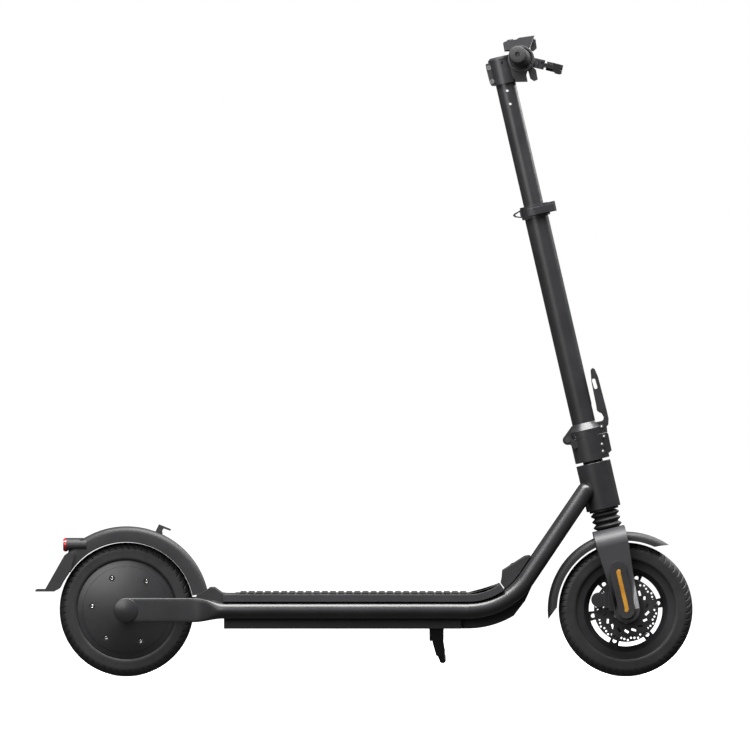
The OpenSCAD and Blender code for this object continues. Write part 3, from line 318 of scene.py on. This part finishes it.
def tyreOutline():
    outer, half, bead, sh = tyre["outer"], tyre["half"], tyre["bead"], tyre["shoulder"]
    right = [(bead, half - 2.4), (bead + 1.4, half - 0.9), (bead + 4, half)]
    right += [(bead + 4 + (outer - sh - bead - 4) * i / 5, half) for i in range(1, 6)]
    right += arcPoints(outer - sh, half - sh, sh, 90, 0, 22)[1:]
    tread = [(outer, half - sh - i * 2.75) for i in range(1, 4)]
    outside = right + tread + [(outer, 0)] + [(r, -h) for r, h in reversed(right + tread)]
    inR, inHalf, inSh = outer - tyre["casing"], half - tyre["casing"], sh - tyre["casing"]
    inner = [(bead, inHalf)] + arcPoints(inR - inSh, inHalf - inSh, inSh, 90, 0, 8)
    inside = [(r, -h) for r, h in inner] + [(r, h) for r, h in reversed(inner)]
    return outside + inside, len(outside)


tyreShape, tyreOutside = tyreOutline()


def tyreChange(a, k, r, h):
    if k >= tyreOutside or r < tyre["sipeLow"] or abs(h) < tyre["half"] - tyre["shoulder"] - 1:
        return r, h
    share = (r - tyre["sipeLow"]) / (tyre["sipeHigh"] - tyre["sipeLow"])
    pitch = 2 * math.pi / tyre["sipes"]
    slant = 0.55 * pitch * share * share
    off = ((a - slant + (0.5 * pitch if h > 0 else 0)) / pitch) % 1.0
    off = min(off, 1 - off) * pitch * r
    inRange = min(1, max(0, share * 4)) * min(1, max(0, (1.18 - share) * 4))
    cut = tyre["sipeDepth"] * max(0.0, 1 - (off / tyre["sipeWidth"]) ** 2) * inRange
    nose = Vector((r - (tyre["outer"] - tyre["shoulder"]), abs(h) - (tyre["half"] - tyre["shoulder"])))
    nose.normalize()
    return r - nose.x * cut, (abs(h) - nose.y * cut) * (1 if h > 0 else -1)


for hub, body, name, stands in ((frontHub, "front_wheel", "frontTyreTread", "front_tyre"),
                                (rearHub, "rear_wheel", "rearTyreTread", "rear_tyre")):
    tyreMesh = spinMesh(name, tyreShape, wheelTurn(hub), tyre["steps"], tyreChange)
    settle(name, tyreMesh, body, "tyreRubber", [stands], 32)
print("stage: tyres made")

# fenders: one curved shell each, open below, with slanted ends
fender = {"half": 35.0, "wall": 3.0, "corner": 11.0, "crownDrop": 0.54, "steps": 150,
          "rearOuter": 158.0, "rearSkirt": 128.6, "rearStart": 12.0, "rearEnd": 134.0, "rearSlant": 0.45,
          "frontOuter": 148.0, "frontSkirt": 131.0, "frontStart": 56.0, "frontStartSlant": 9.5,
          "frontEnd": 187.0, "frontEndSlant": 9.0}


def fenderOutline(outer, skirt):
    half, wall, corner = fender["half"], fender["wall"], fender["corner"]
    side = [(skirt, half - 0.6), (skirt - 0.2, half - 0.1), (skirt + 0.8, half), (outer - corner, half)]
    side += arcPoints(outer - corner, half - corner, corner, 90, 20, 9)[1:]
    crown = [(outer - fender["crownDrop"] * (i / 6) ** 2, (half - corner) * i / 6) for i in range(5, 0, -1)]
    outside = side + crown + [(outer, 0)]
    outside += [(r, -h) for r, h in reversed(outside[:-1])]
    inner = [(skirt, half - wall)]
    inner += arcPoints(outer - corner, half - corner, corner - wall, 90, 10, 8) + [(outer - wall, 0)]
    inner = [(r, -h) for r, h in inner] + [(r, h) for r, h in reversed(inner[:-1])]
    return outside + inner


def rearSweep(r):
    return fender["rearStart"], fender["rearEnd"] + fender["rearSlant"] * (fender["rearOuter"] - r)


def frontSweep(r):
    share = (fender["frontOuter"] - r) / (fender["frontOuter"] - fender["frontSkirt"])
    return (fender["frontStart"] + fender["frontStartSlant"] * share,
            fender["frontEnd"] - fender["frontEndSlant"] * share)


for end, hub, body, sweep in (("rear", rearHub, "frame", rearSweep), ("front", frontHub, "fork", frontSweep)):
    outline = fenderOutline(fender[end + "Outer"], fender[end + "Skirt"])
    shell = spinMesh(end + "FenderShell", outline, wheelTurn(hub), fender["steps"], sweep=sweep)
    settle(end + "FenderShell", shell, body, "grainPlastic", [end + "_fender"], 30)
print("stage: fenders made")

# frame tubes: the flat arm at the axle swells into the round tube, which bends up beside the head tube
tube = {"radius": 15.9, "deckSide": 72.0, "height": 127.0, "bendX": 647.5, "bendR": 134.0, "slope": 55.9,
        "neckRise": 221.0, "neckSide": 27.0, "armThick": 10.0, "armSide": 63.0, "armHalf": 23.0,
        "flatEnd": 128.0, "roundAt": 186.0, "around": 64, "flatPower": 9.0, "roundPower": 2.0, "past": 4.0,
        "endRound": 11.0, "headLow": 140.0, "headGap": 31.2}


def ease(t):
    t = min(1.0, max(0.0, t))
    return t * t * (3 - 2 * t)


def tubeSections():
    lean = math.atan((tube["deckSide"] - tube["neckSide"]) / tube["neckRise"])
    bend = math.atan(math.tan(math.radians(tube["slope"])) / math.cos(lean))
    risen = tube["bendR"] * (1 - math.cos(bend)) * math.cos(lean)
    run = (tube["neckRise"] - risen) / (math.sin(bend) * math.cos(lean)) + tube["past"]
    thin, tall, rows = tube["armThick"] / 2, tube["armHalf"], []
    for i in range(17):
        x = -tall * math.cos(math.radians(90 * i / 16))
        half = tall * math.sin(math.radians(max(4, 90 * i / 16)))
        rows.append((x, 0.0, 0.0, tube["armSide"], thin - 0.15, half - 0.1, tube["flatPower"]))
    for i in range(1, 13):
        x = tube["flatEnd"] * i / 12
        rows.append((x, 0.0, 0.0, tube["armSide"], thin - 0.15, tall - 0.1, tube["flatPower"]))
    for i in range(1, 25):
        t = i / 24
        s = ease(t)
        x = tube["flatEnd"] + (tube["roundAt"] - tube["flatEnd"]) * t
        power = tube["roundPower"] + (tube["flatPower"] - tube["roundPower"]) * (1 - s) ** 1.6
        rows.append((x, 0.0, 0.0, tube["armSide"] + (tube["deckSide"] - tube["armSide"]) * s,
                     thin + (tube["radius"] - thin) * s, tall + (tube["radius"] - tall) * ease(t * 1.02), power))
    r, power = tube["radius"], tube["roundPower"]
    for i in range(1, 19):
        x = tube["roundAt"] + (tube["bendX"] - tube["roundAt"]) * i / 18
        rows.append((x, 0.0, 0.0, tube["deckSide"], r, r, power))
    for i in range(1, 37):
        a = bend * i / 36
        rows.append((tube["bendX"] + tube["bendR"] * math.sin(a), tube["bendR"] * (1 - math.cos(a)), a,
                     tube["deckSide"], r, r, power))
    endX, endZ = tube["bendX"] + tube["bendR"] * math.sin(bend), tube["bendR"] * (1 - math.cos(bend))
    for i in range(1, 25):
        far = run * i / 24
        rows.append((endX + far * math.cos(bend), endZ + far * math.sin(bend), bend, tube["deckSide"], r, r, power))
    for i in range(1, 9):
        a = math.radians(90 * i / 8)
        far = run + tube["endRound"] * math.sin(a)
        small = max(0.06, math.cos(a)) * 0.35 + 0.65 if i < 8 else 0.02
        rows.append((endX + far * math.cos(bend), endZ + far * math.sin(bend), bend, tube["deckSide"],
                     r * small, r * small, power))
    return rows, lean


def tubeMesh(name, side):
    rows, lean = tubeSections()
    around = tube["around"]
    points, faces = [], []
    for x, up, slope, out, wide, high, power in rows:
        for k in range(around):
            a = 2 * math.pi * k / around
            c, s = math.cos(a), math.sin(a)
            across = wide * math.copysign(abs(c) ** (2 / power), c)
            lift = high * math.copysign(abs(s) ** (2 / power), s)
            px = x - lift * math.sin(slope)
            pz = up + lift * math.cos(slope)
            y, z = across, pz
            y2 = out + y * math.cos(lean) - z * math.sin(lean) if slope or up else out + y
            z2 = y * math.sin(lean) + z * math.cos(lean) if slope or up else z
            spot = Vector((rearHub.x + px * mm, side * y2 * mm, (tube["height"] + z2) * mm))
            # the end is pressed against the head tube and doesn't enter its bore
            rel = spot - steerBase
            alongAxis = rel.dot(steerUp)
            away = rel - steerUp * alongAxis
            if alongAxis > tube["headLow"] * mm and away.length < tube["headGap"] * mm:
                spot = steerBase + steerUp * alongAxis + away.normalized() * tube["headGap"] * mm
            points.append(spot)
    for i in range(len(rows) - 1):
        for k in range(around):
            n = (k + 1) % around
            faces.append((i * around + k, i * around + n, (i + 1) * around + n, (i + 1) * around + k))
    faces.append(tuple(reversed(range(around))))
    faces.append(tuple((len(rows) - 1) * around + k for k in range(around)))
    return fromFaces(name, points, faces)


for side, label in ((-1, "Right"), (1, "Left")):
    settle("frameTube" + label, tubeMesh("frameTube" + label, side), "frame", "satinBlack",
           ["frame_tube_" + label.lower()], 42)
print("stage: frame tubes made")

# bellows: soft rings turned about the steering axis, riding with the steerer
boot = {"low": 157.6, "high": 191.4, "thick": 1.6, "wide": 27.4, "narrow": 21.6, "folds": 3, "steps": 60}


def bootOutline():
    outside = []
    for i in range(boot["steps"] + 1):
        t = i / boot["steps"]
        wave = 0.5 - 0.5 * math.cos(2 * math.pi * boot["folds"] * t)
        r = boot["narrow"] + (boot["wide"] - boot["narrow"]) * wave ** 0.7
        outside.append((r, boot["low"] + (boot["high"] - boot["low"]) * t))
    inside = [(r - boot["thick"], h) for r, h in reversed(outside)]
    return outside + inside


boots = settle("bellowsBoot", spinMesh("bellowsBoot", bootOutline(), steerTurn, 96), "steerer", "bootRubber",
               ["bellows"], 60)
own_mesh(boots)
print("stage: bellows made")

# suspension spring: one coil spanning the length of the part
springTop, springLow = (pick((point.co - onSteer(0, 0)).dot(steerUp) / mm
                             for point in nodes["suspension_spring"].data.vertices) for pick in (max, min))
spring = {"radius": 11.0, "wire": 1.6, "turns": 9, "steps": 36, "sides": 10, "travel": 20.0}


def coilMesh():
    points, faces = [], []
    rings, sides, wire = spring["turns"] * spring["steps"], spring["sides"], spring["wire"]
    rise = (springTop - springLow - 2 * wire) / rings
    for i in range(rings + 1):
        a = 2 * math.pi * i / spring["steps"]
        for k in range(sides):
            b = 2 * math.pi * k / sides
            r = spring["radius"] + wire * math.cos(b)
            up = springLow + wire + rise * i + wire * math.sin(b)
            points.append(onSteer(r * math.cos(a), up, r * math.sin(a)))
    for i in range(rings):
        for k in range(sides):
            far = (k + 1) % sides
            faces.append((i * sides + k, i * sides + far, (i + 1) * sides + far, (i + 1) * sides + k))
    faces.append(tuple(range(sides)))
    faces.append(tuple(rings * sides + k for k in range(sides)))
    return fromFaces("springCoil", points, faces)


coil = settle("springCoil", coilMesh(), bodyOf["suspension_spring"], finishFor["suspension_spring"],
              ["suspension_spring"], 60)
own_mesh(coil)
print("stage: spring made", round(springLow, 1), round(springTop, 1))

# softened copies: the same shape with its sharp corners rounded, so that they catch the light
soften = {
    "head_tube": 0.8, "deck_plate": 0.9, "deck_mat": 0.7, "front_cover": 1.2, "rear_block": 1.4,
    "fender_hook": 1.0, "plate_holder": 0.8, "tail_lamp_housing": 0.5, "tail_lamp_lens": 0.9,
    "kickstand_bracket": 0.5, "kickstand_leg": 0.9, "steerer_tube": 0.4, "fold_base": 0.8, "fork_legs": 1.0,
    "brake_caliper": 0.9, "reflector_bases": 0.8, "reflector_strips": 0.4, "front_rim": 0.7, "brake_rotor": 0.25,
    "stem_tube": 0.7, "stem_collar": 0.8, "latch_lever": 0.9, "collar_lever": 0.9, "stem_head": 1.2,
    "display_housing": 1.4, "headlight": 0.9, "mode_button": 0.4, "brake_perch": 0.9, "brake_lever": 1.2,
    "throttle_housing": 0.8, "throttle_paddle": 1.2, "axle_covers": 0.6, "motor_covers": 0.5, "battery_tray": 1.2,
    "front_axle": 0.5, "charge_cap": 0.5,
}


sharpAngle = math.radians(38)
flatAngle = math.radians(0.6)


def softCopy(node, width):
    mesh = nodes[node].data.copy()
    shape = bmesh.new()
    shape.from_mesh(mesh)
    bmesh.ops.remove_doubles(shape, verts=shape.verts, dist=2e-6)
    bmesh.ops.dissolve_limit(shape, angle_limit=flatAngle, verts=shape.verts, edges=shape.edges)
    bmesh.ops.recalc_face_normals(shape, faces=shape.faces)
    shape.to_mesh(mesh)
    shape.free()
    for layer in list(mesh.attributes):
        if layer.name == "custom_normal":
            mesh.attributes.remove(layer)
    smoothBy(mesh, math.degrees(sharpAngle))
    holder = bpy.data.objects.new("softHolder", mesh)
    bpy.context.scene.collection.objects.link(holder)
    bevel = holder.modifiers.new("soft", "BEVEL")
    bevel.width = width * mm
    bevel.segments = 2
    bevel.limit_method = "ANGLE"
    bevel.angle_limit = sharpAngle
    bevel.use_clamp_overlap = True
    bevel.harden_normals = True
    ready = holder.evaluated_get(bpy.context.evaluated_depsgraph_get())
    made = bpy.data.meshes.new_from_object(ready)
    bpy.data.objects.remove(holder)
    return made


def camel(node):
    first, *rest = node.split("_")
    return first + "".join(word.capitalize() for word in rest)


for node, width in soften.items():
    settle(camel(node), softCopy(node, width), bodyOf[node], finishFor[node], [node], 0)
print("stage: softened copies made,", len(soften))


# geometry nodes: a ring and a row of pieces, used for screws and for the ribs on the grips
def startTree(name, inputs):
    tree = bpy.data.node_groups.new(name, "GeometryNodeTree")
    tree.interface.new_socket("Geometry", in_out="OUTPUT", socket_type="NodeSocketGeometry")
    ids = {}
    for label, kind in inputs:
        ids[label] = tree.interface.new_socket(label, in_out="INPUT", socket_type=kind).identifier
    return tree, ids, tree.nodes.new("NodeGroupInput"), tree.nodes.new("NodeGroupOutput")


def endTree(tree, given, instances, out):
    real = tree.nodes.new("GeometryNodeRealizeInstances")
    paint = tree.nodes.new("GeometryNodeSetMaterial")
    tree.links.new(instances, real.inputs[0])
    tree.links.new(real.outputs[0], paint.inputs["Geometry"])
    tree.links.new(given.outputs["Finish"], paint.inputs["Material"])
    tree.links.new(paint.outputs["Geometry"], out.inputs[0])


def ringTree():
    tree, ids, given, out = startTree("ringOfPieces", [
        ("Piece", "NodeSocketObject"), ("Count", "NodeSocketInt"), ("Radius", "NodeSocketFloat"),
        ("Start", "NodeSocketFloat"), ("Finish", "NodeSocketMaterial")])
    circle = tree.nodes.new("GeometryNodeMeshCircle")
    tree.links.new(given.outputs["Count"], circle.inputs["Vertices"])
    tree.links.new(given.outputs["Radius"], circle.inputs["Radius"])
    info = tree.nodes.new("GeometryNodeObjectInfo")
    tree.links.new(given.outputs["Piece"], info.inputs["Object"])
    put = tree.nodes.new("GeometryNodeInstanceOnPoints")
    tree.links.new(circle.outputs["Mesh"], put.inputs["Points"])
    tree.links.new(info.outputs["Geometry"], put.inputs["Instance"])
    turn = tree.nodes.new("GeometryNodeTransform")
    spinXyz = tree.nodes.new("ShaderNodeCombineXYZ")
    tree.links.new(given.outputs["Start"], spinXyz.inputs["Z"])
    tree.links.new(put.outputs["Instances"], turn.inputs["Geometry"])
    tree.links.new(spinXyz.outputs[0], turn.inputs["Rotation"])
    endTree(tree, given, turn.outputs["Geometry"], out)
    return tree, ids


def rowTree():
    tree, ids, given, out = startTree("rowOfPieces", [
        ("Piece", "NodeSocketObject"), ("Count", "NodeSocketInt"), ("Step", "NodeSocketVector"),
        ("Finish", "NodeSocketMaterial")])
    line = tree.nodes.new("GeometryNodeMeshLine")
    tree.links.new(given.outputs["Count"], line.inputs["Count"])
    tree.links.new(given.outputs["Step"], line.inputs["Offset"])
    info = tree.nodes.new("GeometryNodeObjectInfo")
    tree.links.new(given.outputs["Piece"], info.inputs["Object"])
    put = tree.nodes.new("GeometryNodeInstanceOnPoints")
    tree.links.new(line.outputs["Mesh"], put.inputs["Points"])
    tree.links.new(info.outputs["Geometry"], put.inputs["Instance"])
    endTree(tree, given, put.outputs["Instances"], out)
    return tree, ids


ringPieces, ringIds = ringTree()
rowPieces, rowIds = rowTree()


def runTree(tree, ids, values, turn):
    host = bpy.data.objects.new("treeHost", bpy.data.meshes.new("treeHost"))
    bpy.context.scene.collection.objects.link(host)
    modifier = host.modifiers.new("repeat", "NODES")
    modifier.node_group = tree
    for label, value in values.items():
        modifier[ids[label]] = value
    made = bpy.data.meshes.new_from_object(host.evaluated_get(bpy.context.evaluated_depsgraph_get()))
    host.modifiers.remove(modifier)
    bpy.data.objects.remove(host)
    made.transform(turn)
    return made


def templateOf(name, mesh):
    piece = bpy.data.objects.new(name, mesh)
    bpy.context.scene.collection.objects.link(piece)
    return piece


def screwMesh(name, headR, headH, sink, socketR, steps=24):
    outline = [(0.001, 0), (headR - 0.3, 0), (headR, 0.3), (headR, headH - 0.7), (headR - 0.7, headH),
               (socketR + 0.25, headH), (socketR, headH - 0.25), (socketR, headH - sink), (0.001, headH - sink)]
    points, faces = [], []
    for i in range(steps):
        a = 2 * math.pi * i / steps
        for k, (r, h) in enumerate(outline):
            hexed = r
            if k in (6, 7):
                hexed = socketR * math.cos(math.pi / 6) / math.cos((a % (math.pi / 3)) - math.pi / 6)
            points.append((hexed * mm * math.cos(a), hexed * mm * math.sin(a), h * mm))
    count = len(outline)
    for i in range(steps):
        j = (i + 1) % steps
        for k in range(count - 1):
            faces.append((i * count + k, j * count + k, j * count + k + 1, i * count + k + 1))
    return fromFaces(name, points, faces)


screws = {"coverCount": 6, "coverRadius": 65.5, "coverStart": 54.5, "headRadius": 3.5, "headHeight": 2.4,
          "sink": 1.6, "socket": 1.7, "seat": 27.05}
screwTemplate = templateOf("screwTemplate", screwMesh("screwTemplate", screws["headRadius"], screws["headHeight"],
                                                      screws["sink"], screws["socket"]))
screwParts = []
for side in (-1, 1):
    spot = Vector((rearHub.x, side * screws["seat"] * mm, rearHub.z))
    turned = turnTo(spot, (0, side, 0), (1, 0, 0))
    start = math.radians(screws["coverStart"]) * (-side)
    screwParts.append(runTree(ringPieces, ringIds, {
        "Piece": screwTemplate, "Count": screws["coverCount"], "Radius": screws["coverRadius"] * mm,
        "Start": start, "Finish": finish["brightSteel"]}, turned))


def joinMeshes(name, meshes):
    shape = bmesh.new()
    for mesh in meshes:
        shape.from_mesh(mesh)
    made = bpy.data.meshes.new(name)
    shape.to_mesh(made)
    shape.free()
    return made


settle("coverScrews", joinMeshes("coverScrews", screwParts), "rear_wheel", "brightSteel",
       ["cover_screws"], 35)
print("stage: screws made")

# grips: a soft sleeve with raised ribs along it and a flared inner flange
grip = {"radius": 16.2, "length": 120.0, "ribs": 26, "ribPitch": 3.6, "ribHeight": 0.5, "flange": 19.0,
        "barRadius": 11.12, "sweepSide": 110.0, "sweepBack": 9.0, "sweepUp": 5.0, "barHalf": 250.0,
        "firstRib": 12.0}
gripRun = grip["barHalf"] - grip["sweepSide"]
gripLength = math.sqrt(gripRun ** 2 + grip["sweepBack"] ** 2 + grip["sweepUp"] ** 2)
ribBase, ribFoot, ribTop = grip["radius"] - 0.3, grip["radius"] + 0.15, grip["radius"] + grip["ribHeight"]
ribOutline = [(ribBase, -0.9), (ribFoot, -0.9), (ribTop, -0.45), (ribTop, 0.45), (ribFoot, 0.9), (ribBase, 0.9)]
ribTemplate = templateOf("ribTemplate", spinMesh("ribTemplate", ribOutline, Matrix.Identity(4), 56))
gripOutline = [(grip["barRadius"], 0.2), (grip["flange"] - 0.8, 0.2), (grip["flange"], 1.0), (grip["flange"], 3.2),
               (grip["flange"] - 0.8, 4.0), (grip["radius"] + 0.6, 4.6), (grip["radius"], 6.0),
               (grip["radius"], 112.0), (grip["radius"] + 0.5, 113.5), (grip["radius"] + 0.5, 117.5),
               (grip["radius"] - 0.4, 119.2), (grip["radius"] - 2.2, 120.0), (5.0, 120.0), (5.0, 118.6),
               (grip["barRadius"], 118.4)]
gripParts = []
for side in (-1, 1):
    way = Vector((-grip["sweepBack"], side * gripRun, grip["sweepUp"])).normalized()
    root = barMiddle + Vector((0, side * grip["sweepSide"] * mm, 0)) + way * (gripLength - grip["length"]) * mm
    turned = turnTo(root, way, (0, 0, 1))
    gripParts.append(spinMesh("gripSleeve", gripOutline, turned, 72))
    ribTurn = turned @ Matrix.Translation((0, 0, grip["firstRib"] * mm))
    gripParts.append(runTree(rowPieces, rowIds, {
        "Piece": ribTemplate, "Count": grip["ribs"], "Step": (0, 0, grip["ribPitch"] * mm),
        "Finish": finish["gripRubber"]}, ribTurn))
settle("gripSleeves", joinMeshes("gripSleeves", gripParts), "upper_stem", "gripRubber",
       ["grips"], 40)
bpy.data.objects.remove(ribTemplate)
bpy.data.objects.remove(screwTemplate)
print("stage: grips made")

# small rings round the cross holes near the top of the upper tube
crossHole = {"middle": 998.0, "pitch": 25.8, "hole": 2.85, "ring": 5.4, "tubeRadius": 19.05,
             "sunk": 1.2, "proud": 0.02}
ringParts = []
for side in (-1, 1):
    for lift in (-0.5, 0.5):
        up = crossHole["middle"] + lift * crossHole["pitch"]
        spot = onSteer(0, up, side * (crossHole["tubeRadius"] - crossHole["sunk"]))
        outline = [(crossHole["hole"], 0), (crossHole["ring"], 0), (crossHole["ring"], 0.9),
                   (crossHole["ring"] - 0.5, 1.5), (crossHole["hole"] + 0.4, 1.5), (crossHole["hole"], 1.1)]
        ringParts.append(spinMesh("holeRing", outline, turnTo(spot, (0, side, 0), (1, 0, 0)), 40))
ringMesh = joinMeshes("crossHoleRings", ringParts)
# pressed onto the tube, so that they pass through the collar
ringReach = (crossHole["tubeRadius"] + crossHole["proud"]) * mm
for point in ringMesh.vertices:
    out = point.co - onSteer(0, 0)
    along = steerUp * out.dot(steerUp)
    if (out - along).length > ringReach:
        point.co = onSteer(0, 0) + along + (out - along).normalized() * ringReach
settle("crossHoleRings", ringMesh, "upper_stem", "satinBlack", [], 40)
print("stage: small rings made")

# the view: square to the right side, from far off, with soft light from above and a pale floor
studio = {"viewMiddle": (0.0204, 0.0, 0.5724), "away": 20.0, "width": 1.425, "sensor": 36.0,
          "world": 0.09, "top": 300.0, "front": 56.0, "rear": 60.0, "floorGlow": 1.0,
          "floorHalf": 40.0, "floorDrop": 0.0004}
scene = bpy.context.scene
scene.view_settings.view_transform = "Standard"
camera = bpy.data.objects.new("viewCamera", bpy.data.cameras.new("viewCamera"))
scene.collection.objects.link(camera)
camera.data.sensor_width = studio["sensor"]
camera.data.lens = studio["sensor"] * studio["away"] / studio["width"]
camera.data.clip_end = 100
camera.location = (studio["viewMiddle"][0], -studio["away"], studio["viewMiddle"][2])
camera.rotation_euler = (math.radians(90), 0, 0)
scene.camera = camera

world = bpy.data.worlds.new("softRoom")
world.use_nodes = True
roomTree = world.node_tree
dimRoom = roomTree.nodes["Background"]
dimRoom.inputs["Color"].default_value = (1, 1, 1, 1)
dimRoom.inputs["Strength"].default_value = studio["world"]
# the room looks white but lights the scooter only a little
whiteRoom = roomTree.nodes.new("ShaderNodeBackground")
whiteRoom.inputs["Color"].default_value = (1, 1, 1, 1)
rayKind = roomTree.nodes.new("ShaderNodeLightPath")
roomMix = roomTree.nodes.new("ShaderNodeMixShader")
roomTree.links.new(rayKind.outputs["Is Camera Ray"], roomMix.inputs[0])
roomTree.links.new(dimRoom.outputs[0], roomMix.inputs[1])
roomTree.links.new(whiteRoom.outputs[0], roomMix.inputs[2])
roomTree.links.new(roomMix.outputs[0], roomTree.nodes["World Output"].inputs["Surface"])
scene.world = world


def softBox(name, at, aim, size, power):
    lamp = bpy.data.lights.new(name, "AREA")
    lamp.shape = "RECTANGLE"
    lamp.size, lamp.size_y = size
    lamp.energy = power
    holder = bpy.data.objects.new(name, lamp)
    holder.location = at
    holder.rotation_euler = (Vector(aim) - Vector(at)).to_track_quat("-Z", "Y").to_euler()
    scene.collection.objects.link(holder)


softBox("topBox", (0.2, -0.9, 3.0), (0, 0, 0.4), (3.4, 1.6), studio["top"])
softBox("frontBox", (-1.6, -3.2, 1.6), (0, 0, 0.5), (2.4, 2.0), studio["front"])
softBox("rearBox", (1.8, 1.6, 2.2), (0, 0, 0.4), (2.0, 1.6), studio["rear"])

floorMesh = bpy.data.meshes.new("paleFloor")
floorCorners = [(x * studio["floorHalf"], y * studio["floorHalf"], -studio["floorDrop"])
                for x, y in ((-1, -1), (1, -1), (1, 1), (-1, 1))]
floorMesh.from_pydata(floorCorners, [], [(0, 1, 2, 3)])
floor = bpy.data.objects.new("paleFloor", floorMesh)
scene.collection.objects.link(floor)
paper = bpy.data.materials.new("palePaper")
paper.use_nodes = True
paperShader = paper.node_tree.nodes["Principled BSDF"]
paperShader.inputs["Base Color"].default_value = (0.9, 0.9, 0.9, 1)
paperShader.inputs["Roughness"].default_value = 0.9
paperShader.inputs["Emission Color"].default_value = (1, 1, 1, 1)
paperShader.inputs["Emission Strength"].default_value = studio["floorGlow"]
floorMesh.materials.append(paper)
# the paper is seen but throws no light back, which keeps the undersides dark
floor.visible_diffuse = False
floor.visible_glossy = False
print("stage: studio made")
